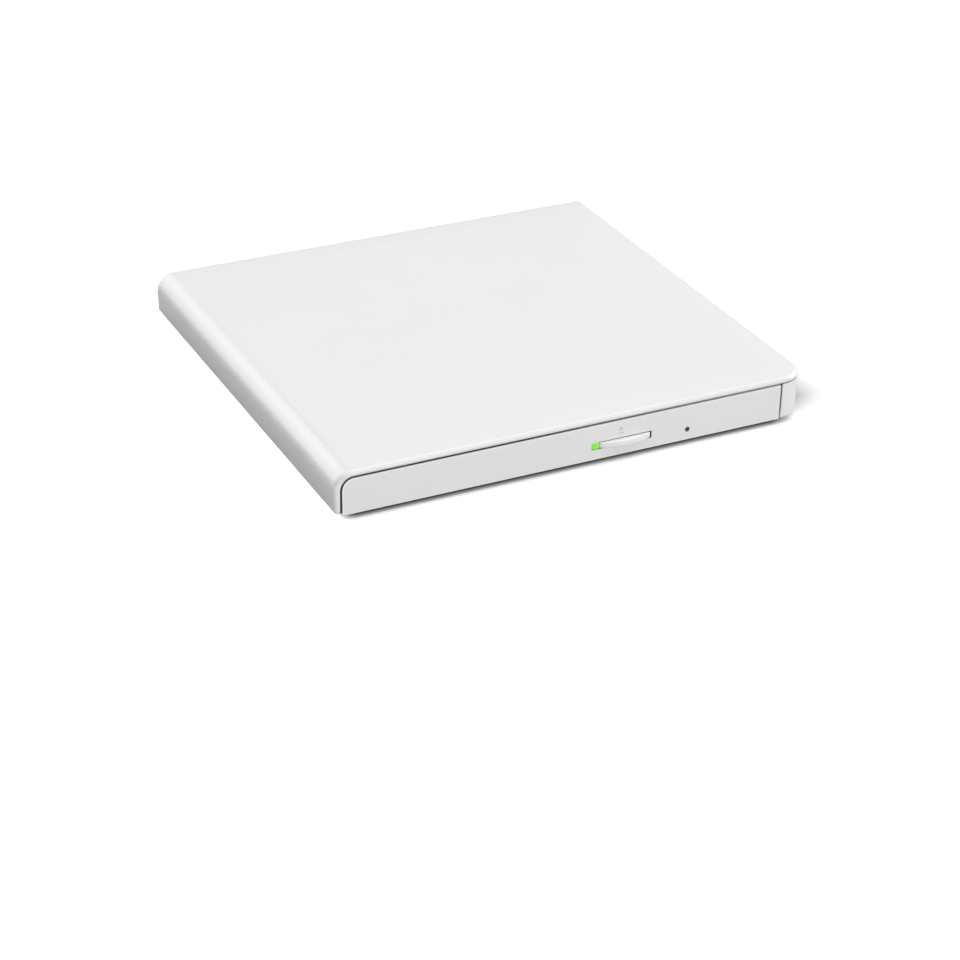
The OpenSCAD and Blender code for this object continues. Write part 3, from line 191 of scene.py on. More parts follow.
def makeSoftMottle(effect):
    tree, given, result = newGroup("softMottle", {"Size": effect["size"]}, ["Shade"])
    scale = calc(tree, "DIVIDE", 1.0, given["Size"])
    waves = noise(tree, onPiece(tree), scale, 4.0, Roughness=effect["rough"], Distortion=effect["distortion"])
    plug(tree, spread(tree, waves, *effect["between"], 0.0, 1.0), result["Shade"])
    return tree


# Hairlines and smudges of handling: a hairline lies where a stretched noise passes its middle value
marksEffect = {
    "fineness": 0.006, "tilt": (0.2, 0.1), "hairScale": 0.6,
    "hairs": [(0.5, (30, 260, 200)), (-0.9, (220, 40, 180)), (1.9, (26, 300, 240))],  # turn and stretch
    "breakScale": 70.0, "unbroken": (0.54, 0.6),
    "smudgeScale": 55.0, "smudged": (0.5, 0.72), "distortion": 1.2,
}


def makeHandlingMarks(effect):
    tree, given, result = newGroup("handlingMarks", {"Fineness": effect["fineness"]}, ["Hairline", "Smudge"])
    place = onPiece(tree)
    hair = 0.0
    for turn, stretch in effect["hairs"]:
        angles = (*effect["tilt"], turn)
        moved = addNode(tree, "Mapping", {"Vector": place, "Rotation": angles, "Scale": stretch})
        drawn = noise(tree, moved.outputs[0], effect["hairScale"], 1.0)
        away = calc(tree, "ABSOLUTE", calc(tree, "SUBTRACT", drawn, 0.5))
        line = calc(tree, "SUBTRACT", 1.0, calc(tree, "DIVIDE", away, given["Fineness"]), True)
        hair = calc(tree, "MAXIMUM", hair, line)
    gate = spread(tree, noise(tree, place, effect["breakScale"], 2.0), *effect["unbroken"], 0.0, 1.0)
    plug(tree, calc(tree, "MULTIPLY", hair, gate), result["Hairline"])
    smudge = noise(tree, place, effect["smudgeScale"], 5.0, Distortion=effect["distortion"])
    plug(tree, spread(tree, smudge, *effect["smudged"], 0.0, 1.0), result["Smudge"])
    return tree


# Rolling or brushing lines: noise drawn out to Length along X and pressed to Width across
brushEffect = {"length": 0.02, "width": 0.0002, "rough": 0.65}


def makeBrushLines(effect):
    starts = {"Length": effect["length"], "Width": effect["width"]}
    tree, given, result = newGroup("brushLines", starts, ["Height"])
    across = calc(tree, "DIVIDE", 1.0, given["Width"])
    scale = addNode(tree, "CombineXYZ", {0: calc(tree, "DIVIDE", 1.0, given["Length"]), 1: across, 2: across})
    drawn = addNode(tree, "VectorMath", {0: onPiece(tree), 1: scale.outputs[0]}, operation="MULTIPLY")
    plug(tree, noise(tree, drawn.outputs[0], 1.0, 3.0, Roughness=effect["rough"]), result["Height"])
    return tree


mouldGrain = makeMouldGrain(grainEffect)
softMottle = makeSoftMottle(mottleEffect)
handlingMarks = makeHandlingMarks(marksEffect)
brushLines = makeBrushLines(brushEffect)


def newLook(name):
    material = bpy.data.materials.new(name)
    tree = clearedTree(material)
    shader = addNode(tree, "BsdfPrincipled")
    tree.links.new(shader.outputs[0], addNode(tree, "OutputMaterial").inputs[0])
    return material, tree, shader.inputs


def tinted(colour, factor):
    return tuple(min(1.0, c * factor) for c in colour)


# Mask that rises from one place to another along each named axis, in millimetres.
# O is the distance from a point of X and Z.
def zoneMask(tree, zone):
    place = addNode(tree, "SeparateXYZ", {0: onPiece(tree)}).outputs
    mask = 1.0
    for axis, start, end, *centre in zone:
        if axis == "O":
            away = [calc(tree, "SUBTRACT", place[k], at * mm) for k, at in zip((0, 2), centre[0])]
            away = [calc(tree, "MULTIPLY", way, way) for way in away]
            along = calc(tree, "SQRT", calc(tree, "ADD", *away))
        else:
            along = place["XYZ".index(axis)]
        mask = calc(tree, "MULTIPLY", mask, spread(tree, along, start * mm, end * mm, 0.0, 1.0))
    return mask


# Moulded plastic: a slow shade, mould grain in the gloss and the bump, and marks of handling.
# A band is a grey painted over the zone that it covers, as painted shade or painted highlight.
plasticBase = {"patch": 0.03, "grain": 0.0003, "hairline": 0.004, "variation": 0.03, "smudge": 0.04,
               "scuff": 0.12, "grainGloss": 0.05, "depth": 0.1, "bumpSize": 0.00005, "ior": 1.48, "bands": []}


def plasticLook(name, changes):
    look = {**plasticBase, **changes}
    material, tree, inputs = newLook(name)
    shade = useGroup(tree, softMottle, Size=look["patch"])["Shade"]
    grain = useGroup(tree, mouldGrain, Size=look["grain"])
    marks = useGroup(tree, handlingMarks, Fineness=look["hairline"])
    colour = ramp(tree, shade, [(0, tinted(look["colour"], 1 - look["variation"])), (1, look["colour"])])
    for grey, zone in look["bands"]:
        colour = mixColour(tree, zoneMask(tree, zone), colour, (grey, grey, grey, 1))
    plug(tree, colour, inputs["Base Color"])
    rough = addShare(tree, look["rough"], marks["Smudge"], look["smudge"])
    rough = addShare(tree, rough, marks["Hairline"], look["scuff"])
    rough = addShare(tree, rough, grain["Shade"], look["grainGloss"], True)
    plug(tree, rough, inputs["Roughness"])
    plug(tree, bumped(tree, grain["Height"], look["depth"], look["bumpSize"]), inputs["Normal"])
    inputs["IOR"].default_value = look["ior"]
    return material


# Sheet or turned metal: drawn lines in the bump and the gloss, a slow change of tone
metalBase = {"patch": 0.02, "hairline": 0.006, "shadeShare": 0.6, "lineShare": 0.4, "tones": (0.2, 0.8),
             "variation": 0.12, "lineGloss": 0.12, "smudge": 0.06, "depth": 0.08, "bumpSize": 0.00003}


def metalLook(name, changes):
    look = {**metalBase, **changes}
    material, tree, inputs = newLook(name)
    shade = useGroup(tree, softMottle, Size=look["patch"])["Shade"]
    lines = useGroup(tree, brushLines, Length=look["length"], Width=look["width"])["Height"]
    marks = useGroup(tree, handlingMarks, Fineness=look["hairline"])
    tone = addShare(tree, calc(tree, "MULTIPLY", shade, look["shadeShare"]), lines, look["lineShare"])
    dark, light = look["tones"]
    stops = [(dark, tinted(look["colour"], 1 - look["variation"])), (light, look["colour"])]
    plug(tree, ramp(tree, tone, stops), inputs["Base Color"])
    rough = addShare(tree, look["rough"], lines, look["lineGloss"])
    plug(tree, addShare(tree, rough, marks["Smudge"], look["smudge"], True), inputs["Roughness"])
    plug(tree, bumped(tree, lines, look["depth"], look["bumpSize"]), inputs["Normal"])
    inputs["Metallic"].default_value = 1.0
    return material


# Solder mask over copper tracks: brick lines in three directions for the tracks, slanted ones where a noise
# is low, and dots for the plated holes
def boardLook(name, look):
    material, tree, inputs = newLook(name)
    place = onPiece(tree)
    tracks = []
    for scale, turn in look["tracks"]:
        moved = addNode(tree, "Mapping", {"Vector": place, "Rotation": (0, 0, turn)})
        bricks = {"Vector": moved.outputs[0], "Scale": scale, **look["brick"]}
        tracks.append(addNode(tree, "TexBrick", bricks).outputs["Fac"])
    lines = calc(tree, "MAXIMUM", tracks[0], calc(tree, "MULTIPLY", tracks[1], look["crossing"]))
    zones = noise(tree, place, look["zones"], 1.0)
    straight, slanted = (spread(tree, zones, *look["border"][::way], 0.0, 1.0) for way in (1, -1))
    routed = calc(tree, "MULTIPLY", lines, straight)
    routed = calc(tree, "MAXIMUM", routed, calc(tree, "MULTIPLY", tracks[2], slanted))
    dots = addNode(tree, "TexVoronoi", {"Vector": place, "Scale": look["dots"], "Randomness": 1.0})
    holes = spread(tree, dots.outputs["Distance"], *look["holeEdge"], 0.0, 1.0)
    mask = ramp(tree, routed, [(0.3, look["colour"]), (0.7, tinted(look["colour"], look["overCopper"]))])
    plug(tree, mixColour(tree, holes, mask, look["plating"]), inputs["Base Color"])
    plug(tree, calc(tree, "MULTIPLY", holes, look["holeMetal"]), inputs["Metallic"])
    plug(tree, spread(tree, zones, 0.3, 0.7, *look["rough"]), inputs["Roughness"])
    height = addShare(tree, routed, holes, look["holeDepth"])
    plug(tree, bumped(tree, height, look["depth"], look["bumpSize"]), inputs["Normal"])
    return material


# Film cable: tinned conductors show as bands across its width, at one pitch
def filmLook(name, look):
    material, tree, inputs = newLook(name)
    wave = {"Vector": onPiece(tree), "Scale": look["bands"], "Distortion": 0.0}
    bands = addNode(tree, "TexWave", wave, bands_direction="X").outputs["Fac"]
    shade = useGroup(tree, softMottle, Size=look["patch"])["Shade"]
    band = ramp(tree, bands, [(0.35, look["colour"]), (0.65, look["conductor"])])
    soft = calc(tree, "MULTIPLY", shade, look["hazeShare"])
    plug(tree, mixColour(tree, soft, band, look["haze"]), inputs["Base Color"])
    plug(tree, spread(tree, bands, 0.0, 1.0, *look["rough"]), inputs["Roughness"])
    plug(tree, bumped(tree, bands, look["depth"], look["bumpSize"]), inputs["Normal"])
    return material


# Lit light pipe: green plastic that glows unevenly, with fine flow lines
lightBase = {"grain": 0.0006, "patch": 0.002, "rough": (0.14, 0.22), "depth": 0.06, "bumpSize": 0.00005}


def lightLook(name, changes):
    look = {**lightBase, **changes}
    material, tree, inputs = newLook(name)
    grain = useGroup(tree, mouldGrain, Size=look["grain"])
    shade = useGroup(tree, softMottle, Size=look["patch"])["Shade"]
    glow = ramp(tree, shade, [(0, look["edge"]), (1, look["glow"])])
    plug(tree, glow, inputs["Base Color"])
    plug(tree, glow, inputs["Emission Color"])
    plug(tree, spread(tree, grain["Shade"], 0.3, 0.7, *look["rough"]), inputs["Roughness"])
    plug(tree, bumped(tree, grain["Height"], look["depth"], look["bumpSize"]), inputs["Normal"])
    inputs["Emission Strength"].default_value = look["strength"]
    return material


# Coated lens: clear glass with a faint tint and smudges in its gloss
def glassLook(name, look):
    material, tree, inputs = newLook(name)
    smudge = useGroup(tree, handlingMarks, Fineness=look["hairline"])["Smudge"]
    stops = [(0, look["colour"]), (1, tinted(look["colour"], look["smudgeTint"]))]
    plug(tree, ramp(tree, smudge, stops), inputs["Base Color"])
    plug(tree, spread(tree, smudge, 0.0, 1.0, *look["rough"]), inputs["Roughness"])
    for label, value in look["sockets"].items():
        inputs[label].default_value = value
    return material


plasticLooks = {
    "coverGloss": {
        "colour": (0.87, 0.87, 0.87), "rough": 0.13, "depth": 0.025, "grain": 0.0012, "variation": 0.012,
        "scuff": 0.06, "smudge": 0.03, "grainGloss": 0.02,
        "bands": [(0.72, [("Y", -68.0, -68.6), ("Z", 10, 12)])],  # lip's front: painted shade, darker towards the bezel
    },
    # Painted shade: the cover's inner faces are near black so that the gap under its lip reads dark
    "coverInsideShade": {"colour": (0.06, 0.06, 0.06), "rough": 0.6, "variation": 0.1},
    "caseSatin": {
        "colour": (0.80, 0.80, 0.80), "rough": 0.32, "grain": 0.0004, "variation": 0.015,
        "bands": [(0.35, [("X", 63.76, 63.62), ("Y", -62, -63), ("Z", 2.0, 5.0)])],  # post, in the gap: painted shade
    },
    "bezelSatin": {
        "colour": (0.80, 0.80, 0.80), "rough": 0.36, "depth": 0.12, "grain": 0.00035, "variation": 0.015,
        "bands": [
            (0.97, [("Z", 11.6, 11.8), ("X", -66.3, -66.2)]),  # painted highlight along the rim: top, left and corner
            (0.97, [("X", -69.4, -69.6), ("Z", 8.5, 8.4)]),
            (0.97, [("O", 3.15, 3.35, (-66.25, 8.45)), ("X", -66.2, -66.3), ("Z", 8.4, 8.5)]),
            (0.06, [("Y", -68.7, -68.5), ("X", 3.0, 3.4), ("X", 22.6, 22.1), ("Z", 4.2, 4.45),
                    ("Z", 7.0, 6.75)]),  # painted shade inside the key's slot
            (0.28, [("O", 0.95, 0.65, (33.4, 4.65))]),  # painted shade inside the pinhole
        ],
    },
    "keySatin": {
        "colour": (0.85, 0.85, 0.85), "rough": 0.28, "depth": 0.06, "variation": 0.01,
        "bands": [(0.87, [("Z", 6.1, 6.3)]), (0.12, [("Y", -68.74, -68.62), ("X", 6.2, 6.8)])],  # painted highlight on the top, painted shade where the key runs inside the slot
    },
    "footRubber": {"colour": (0.36, 0.36, 0.365), "rough": 0.78, "depth": 0.5, "grain": 0.0005,
                   "variation": 0.15, "patch": 0.006, "ior": 1.4},
    "slideNatural": {"colour": (0.72, 0.69, 0.60), "rough": 0.34, "depth": 0.08, "variation": 0.06},
    "connectorBlack": {"colour": (0.022, 0.022, 0.023), "rough": 0.42, "depth": 0.15, "variation": 0.2},
    "socketIvory": {"colour": (0.70, 0.67, 0.57), "rough": 0.4, "variation": 0.06},
    "chipEpoxy": {"colour": (0.018, 0.018, 0.019), "rough": 0.55, "depth": 0.35, "grain": 0.00025,
                  "variation": 0.25, "patch": 0.004},
    "trayBlack": {"colour": (0.020, 0.020, 0.021), "rough": 0.46, "depth": 0.3, "grain": 0.00045,
                  "variation": 0.2, "scuff": 0.16},
    "plateBlack": {"colour": (0.017, 0.017, 0.018), "rough": 0.5, "depth": 0.3, "variation": 0.2},
    "damperBlack": {"colour": (0.02, 0.02, 0.02), "rough": 0.72, "depth": 0.3, "variation": 0.2},
    "hubBlack": {"colour": (0.016, 0.016, 0.017), "rough": 0.36, "depth": 0.12, "variation": 0.15},
    "holderBlack": {"colour": (0.014, 0.014, 0.015), "rough": 0.48, "depth": 0.2, "variation": 0.2},
    "rodNatural": {"colour": (0.76, 0.74, 0.68), "rough": 0.36, "depth": 0.08, "variation": 0.05},
    # Near-black strip in the gap between cover and bezel: painted shade
    "gapShadeDark": {"colour": (0.03, 0.03, 0.03), "rough": 0.7, "depth": 0.3, "variation": 0.2,
                 "bands": [(0.3, [("X", -20, 62)])]},  # painted shade, paler to the right
    "signGrey": {"colour": (0.62, 0.625, 0.63), "rough": 0.4, "depth": 0.05},
}
metalLooks = {
    "screwSteel": {"colour": (0.30, 0.30, 0.31), "rough": 0.34, "width": 0.0001, "length": 0.001},
    "sheetSteel": {"colour": (0.62, 0.63, 0.64), "rough": 0.3, "width": 0.0003, "length": 0.03},
    "springSteel": {"colour": (0.58, 0.58, 0.59), "rough": 0.25, "width": 0.00005, "length": 0.004},
    "groundSteel": {"colour": (0.72, 0.73, 0.74), "rough": 0.12, "width": 0.00006, "length": 0.0006},
    "socketTin": {"colour": (0.66, 0.66, 0.66), "rough": 0.24, "width": 0.0001, "length": 0.006},
    "frameSteel": {"colour": (0.60, 0.61, 0.62), "rough": 0.28, "width": 0.0002, "length": 0.02},
    "plateSteel": {"colour": (0.20, 0.20, 0.21), "rough": 0.44, "width": 0.0003, "length": 0.03},
    "windingCopper": {"colour": (0.60, 0.23, 0.09), "rough": 0.3, "width": 0.00012, "length": 0.01},
    "pickupCasting": {"colour": (0.36, 0.36, 0.37), "rough": 0.45, "width": 0.0004, "length": 0.0006,
                      "depth": 0.3},
    "contactGold": {"colour": (0.83, 0.62, 0.26), "rough": 0.2, "width": 0.0001, "length": 0.003},
}
boardLooks = {
    "boardGreen": {
        "colour": (0.010, 0.075, 0.035), "rough": (0.28, 0.28 + 0.15), "overCopper": 1.9,
        "plating": (0.75, 0.72, 0.62, 1),
        "tracks": [(420.0, 0.0), (300.0, rightAngle), (260.0, rightAngle / 2)], "crossing": 0.7,
        "brick": {"Mortar Size": 0.03, "Mortar Smooth": 0.2, "Brick Width": 2.2, "Row Height": 0.35},
        "zones": 120.0, "border": (0.46, 0.5), "dots": 420.0, "holeEdge": (0.13, 0.1),
        "holeMetal": 0.9, "holeDepth": -0.6, "depth": 0.25, "bumpSize": 0.00004,
    },
}
filmLooks = {
    "cableFilm": {
        "colour": (0.78, 0.79, 0.80), "conductor": (0.50, 0.51, 0.53), "rough": (0.3 + 0.1, 0.3),
        "bands": 310.0, "haze": (0.9, 0.9, 0.86, 1), "hazeShare": 0.12, "patch": 0.01, "depth": 0.3,
        "bumpSize": 0.00005,
    },
}
lightLooks = {
    "lightGreen": {"edge": (0.20, 0.66, 0.06), "glow": (0.36, 0.86, 0.13), "strength": 0.2},
    "lampGreen": {"edge": (0.30, 0.80, 0.14), "glow": (0.45, 0.95, 0.22), "strength": 1.5},
}
glassLooks = {
    "lensGlass": {
        "colour": (0.86, 0.91, 1.0), "smudgeTint": 0.94, "hairline": 0.003, "rough": (0.02, 0.07),
        "sockets": {"Transmission Weight": 0.85, "IOR": 1.52, "Coat Weight": 0.6, "Coat Roughness": 0.03,
                    "Coat Tint": (0.62, 0.7, 1.0, 1)},
    },
}
looks = {}
for makeLook, settings in ((plasticLook, plasticLooks), (metalLook, metalLooks), (boardLook, boardLooks),
                           (filmLook, filmLooks), (lightLook, lightLooks), (glassLook, glassLooks)):
    for lookName, look in settings.items():
        looks[lookName] = makeLook(lookName, look)
print("materials:", len(looks))


# Mesh helpers: a sheet is a grid of points in millimetres with whether its columns close to a ring
def gridFaces(rows, cols, closed):
    i = np.arange(rows - 1)[:, None]
    j = np.arange(cols if closed else cols - 1)[None, :]
    nextI, nextJ = i + 1, (j + 1) % cols
    quads = np.broadcast_arrays(i * cols + j, i * cols + nextJ, nextI * cols + nextJ, nextI * cols + j)
    return np.stack(quads, -1).reshape(-1, 4)


# Merges the seams and poles of a mesh and turns its faces outwards
def closeSeams(mesh):
    work = bmesh.new()
    work.from_mesh(mesh)
    bmesh.ops.remove_doubles(work, verts=work.verts, dist=1e-6)
    bmesh.ops.dissolve_degenerate(work, edges=work.edges, dist=1e-7)
    bmesh.ops.recalc_face_normals(work, faces=work.faces)
    work.to_mesh(mesh)
    work.free()


def makePiece(name, sheets, look, body, replaced=(), crease=38.0, across=None, inside=None):
    points, faces, finish, count = [], [], [], 0
    for k, (grid, closed) in enumerate(sheets):
        rows, cols = grid.shape[:2]
        points.append(grid.reshape(-1, 3))
        faces.append(gridFaces(rows, cols, closed) + count)
        finish.append(np.full(len(faces[-1]), inside is not None and k in inside["sheets"], np.int32))
        count += rows * cols
    mesh = bpy.data.meshes.new(name)
    mesh.from_pydata((np.concatenate(points) * mm).tolist(), [], np.concatenate(faces).tolist())
    mesh.materials.append(looks[look])
    if inside is not None:
        mesh.materials.append(looks[inside["look"]])
        mesh.polygons.foreach_set("material_index", np.concatenate(finish))
    closeSeams(mesh)
    mesh.shade_smooth()
    mesh.set_sharp_from_angle(angle=math.radians(crease))
    piece = bpy.data.objects.new(name, mesh)
    bpy.context.scene.collection.objects.link(piece)
    if across is None:
        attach(piece, body)
    else:
        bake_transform(piece)
    if replaced:
        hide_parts(*replaced)


def otherAxes(axis):
    return [k for k in range(3) if k != axis]


# Angles of four quarter circles, from the left front corner round to the left back one
def cornerAngles(perCorner):
    return np.radians(np.concatenate([np.linspace(q, q + 90, perCorner) for q in (180, 270, 360, 450)]))


# Rings of a rectangle with round corners, each pulled in by its inset and lifted to its height along an axis
def ringStack(low, high, corner, insets, heights, axis, perCorner):
    flat = otherAxes(axis)
    angle = cornerAngles(perCorner)
    side = np.repeat([[0, 0], [1, 0], [1, 1], [0, 1]], perCorner, axis=0)
    insets = np.asarray(insets, float)[:, None]
    reach, radius = np.maximum(corner, insets), np.maximum(corner - insets, 0)
    grid = np.empty((len(insets), len(angle), 3))
    for k, part in ((0, np.cos(angle)), (1, np.sin(angle))):
        base = np.where(side[:, k], high[flat[k]] - reach, low[flat[k]] + reach)
        grid[..., flat[k]] = base + radius * part
    grid[..., axis] = np.asarray(heights, float)[:, None]
    return grid


# Closes a stack of rings with a point in the middle of its first and its last ring
def capped(grid):
    ends = [np.broadcast_to(grid[k].mean(0), (1, *grid.shape[1:])) for k in (0, -1)]
    return np.concatenate([ends[0], grid, ends[1]])


# Block with round corners and edges: inset = edge * (1 - sin t), rise = edge * (1 - cos t),
# t from 0 to 90 degrees
def roundedBlock(low, high, corner, edge, axis=2, steps=4, perCorner=5):
    t = np.linspace(0, rightAngle, steps)
    inset, rise = edge * (1 - np.sin(t)), edge * (1 - np.cos(t))
    insets = np.concatenate([inset, inset[::-1]])
    heights = np.concatenate([low[axis] + rise, high[axis] - rise[::-1]])
    return capped(ringStack(low, high, corner, insets, heights, axis, perCorner)), True


# Turned shape: the radius and height of a profile, carried round an upright axis at a place
def turned(profile, place, steps):
    profile = np.asarray(profile, float)
    angle = np.arange(steps) * fullTurn / steps
    grid = np.empty((len(profile), steps, 3))
    grid[..., 0] = place[0] + profile[:, :1] * np.cos(angle)
    grid[..., 1] = place[1] + profile[:, :1] * np.sin(angle)
    grid[..., 2] = profile[:, 1:]
    return grid, True


# Straight-sided plate of any outline: the outline at the back and where its chamfer starts, and
# pulled in at the face
def prism(outline, back, face, chamfer, axis, chamferFrom=0.4):
    outline = np.asarray(outline, float)
    flat = otherAxes(axis)
    middle = outline.mean(0)
    shrink = 1 - chamfer / np.abs(outline - middle).max()
    levels = [(1.0, back), (1.0, face + (back - face) * chamferFrom), (shrink, face)]
    grid = np.empty((len(levels), len(outline), 3))
    for row, (size, height) in enumerate(levels):
        grid[row][:, flat] = middle + (outline - middle) * size
        grid[row][:, axis] = height
    return capped(grid), True


# Line across a cap: place, drop below the face on a quarter circle at each end, and whether it is
# the wall's foot
def edgeLine(low, high, edge, faceSteps, roundSteps=5):
    t = np.linspace(0, rightAngle, roundSteps)
    out, drop = edge * np.sin(t), edge * (1 - np.cos(t))
    face = np.linspace(low + edge, high - edge, faceSteps)[1:-1]
    place = np.concatenate([[low], (low + edge - out)[::-1], face, high - edge + out, [high]])
    drop = np.concatenate([[edge], drop[::-1], 0 * face, drop, [edge]])
    wall = np.zeros(len(place))
    wall[[0, -1]] = 1
    return place, drop, wall


# Cap with a bowed face: its edges round over, its face follows a circle through its ends that bulges by bulge
def bowedCap(low, high, face, bulge, edge, faceSteps=25, riseSteps=5):
    xs, dropX, wallX = edgeLine(low[0], high[0], edge, faceSteps)
    zs, dropZ, wallZ = edgeLine(low[2], high[2], edge, riseSteps)
    half, middle = (high[0] - low[0]) / 2, (high[0] + low[0]) / 2
    bowR = (half ** 2 + bulge ** 2) / (2 * bulge)
    bow = np.sqrt(bowR ** 2 - (xs - middle) ** 2) - (bowR - bulge)
    drop = np.maximum(dropX[:, None], dropZ[None, :])
    wall = np.maximum(wallX[:, None], wallZ[None, :])
    grid = np.empty((len(xs), len(zs), 3))
    grid[..., 0] = xs[:, None]
    grid[..., 2] = zs[None, :]
    grid[..., 1] = np.where(wall > 0, high[1], face - bow[:, None] + drop)
    back = grid.copy()
    back[..., 1] = high[1]
    return [(grid, False), (back, False)]


# Direction of a path at each of its points, one long
def pathWays(path):
    along = np.gradient(path, axis=0)
    return along / np.linalg.norm(along, axis=1)[:, None]


# Round wire: circles of one radius carried along a path, square to it
def wire(path, radius, upright, sides=10):
    along = pathWays(path)
    first = np.cross(along, upright)
    first /= np.linalg.norm(first, axis=1)[:, None]
    second = np.cross(along, first)
    angle = np.arange(sides) * fullTurn / sides
    ring = first[:, None] * np.cos(angle)[None, :, None] + second[:, None] * np.sin(angle)[None, :, None]
    return capped(path[:, None] + radius * ring), True


# CAD nodes keep their shape: their corners get a fine round and smooth shading up to an angle
nodeDress = {"weld": 1e-6, "flat": 0.01, "segments": 2, "corner": 0.6, "smooth": 40, "weight": 100}


def makeSmoothByAngle(angle):
    tree = bpy.data.node_groups.new("smoothByAngle", "GeometryNodeTree")
    for side in ("INPUT", "OUTPUT"):
        tree.interface.new_socket("Geometry", in_out=side, socket_type="NodeSocketGeometry")
    start, end = tree.nodes.new("NodeGroupInput"), tree.nodes.new("NodeGroupOutput")
    faces, edges = (tree.nodes.new("GeometryNodeSetShadeSmooth") for _ in range(2))
    edges.domain = "EDGE"
    bend = tree.nodes.new("GeometryNodeInputMeshEdgeAngle")
    flat = tree.nodes.new("FunctionNodeCompare")
    flat.operation = "LESS_EQUAL"
    flat.inputs[1].default_value = angle
    bare = tree.nodes.new("GeometryNodeRemoveAttribute")
    bare.inputs["Name"].default_value = "custom_normal"
    tree.links.new(bend.outputs[0], flat.inputs[0])
    tree.links.new(flat.outputs[0], edges.inputs["Shade Smooth"])
    for first, second in ((start, bare), (bare, faces), (faces, edges), (edges, end)):
        tree.links.new(first.outputs[0], second.inputs[0])
    return tree


smoothByAngle = makeSmoothByAngle(math.radians(nodeDress["smooth"]))


def dress(name, look, edge):
    piece = nodes[name]
    if not piece.material_slots:
        piece.data.materials.append(looks[look])
    for slot in piece.material_slots:
        slot.material = looks[look]
    weld = piece.modifiers.new("weld", "WELD")
    weld.merge_threshold = nodeDress["weld"]
    plain = piece.modifiers.new("plain", "DECIMATE")
    plain.decimate_type = "DISSOLVE"
    plain.angle_limit = nodeDress["flat"]
    if edge > 0:
        rounding = piece.modifiers.new("rounding", "BEVEL")
        rounding.width = edge * mm
        rounding.segments = nodeDress["segments"]
        rounding.limit_method = "ANGLE"
        rounding.angle_limit = nodeDress["corner"]
        rounding.use_clamp_overlap = False
    smooth = piece.modifiers.new("smooth", "NODES")
    smooth.node_group = smoothByAngle
    even = piece.modifiers.new("even", "WEIGHTED_NORMAL")
    even.keep_sharp = True
    even.weight = nodeDress["weight"]


# Cover: a bent slab. Its outline is a rounded rectangle of s, along wall, shoulder and top, by y,
# along the case
coverShape = {
    "lip": 1.2, "corners": (1.2, 8.0, 1.2, 1.2), "shoulder": 5.5, "innerShoulder": 3.7, "wall": 1.8,
    "top": 1.6, "innerEdge": 0.25, "core": 9.0, "wallCore": 5.8,
    "wallSteps": 3, "shoulderSteps": 25, "topSteps": 30, "sideSteps": 32, "cornerSteps": 13, "lipSteps": 9,
    "innerSteps": 4,
    "boss": 2.1, "bossHole": 0.93, "bossFoot": 2.85, "bossDeep": 7.8, "bossGap": 0.01, "bossSteps": 32,
}
bossPlaces = [(67.1, -44.75), (67.1, 6.0), (-67.7, 64.35), (-3.3, 64.35)]


# A point at s and y, sunk by depth: it slides from the outer bent line to the inner one by depth / top
def coverPoints(s, y, depth):
    low, high = nodeBox("top_cover")
    outR, inR = coverShape["shoulder"], coverShape["innerShoulder"]
    wallLong, arcLong = high[2] - outR - low[2], outR * math.pi / 2
    onWall = np.clip(s / wallLong, None, 1)
    turn = np.clip((s - wallLong) / arcLong, 0, 1) * math.pi / 2
    along = np.maximum(s - wallLong - arcLong, 0)
    innerTop = high[2] - coverShape["top"]
    outer = [low[0] + outR * (1 - np.cos(turn)) + along, low[2] + onWall * wallLong + outR * np.sin(turn)]
    inner = [low[0] + coverShape["wall"] + inR * (1 - np.cos(turn)) + along,
             low[2] + onWall * (innerTop - inR - low[2]) + inR * np.sin(turn)]
    share = depth / coverShape["top"]
    grid = np.empty((*np.broadcast(s, y, depth).shape, 3))
    grid[..., 0] = outer[0] + share * (inner[0] - outer[0])
    grid[..., 1] = y
    grid[..., 2] = outer[1] + share * (inner[1] - outer[1])
    return grid


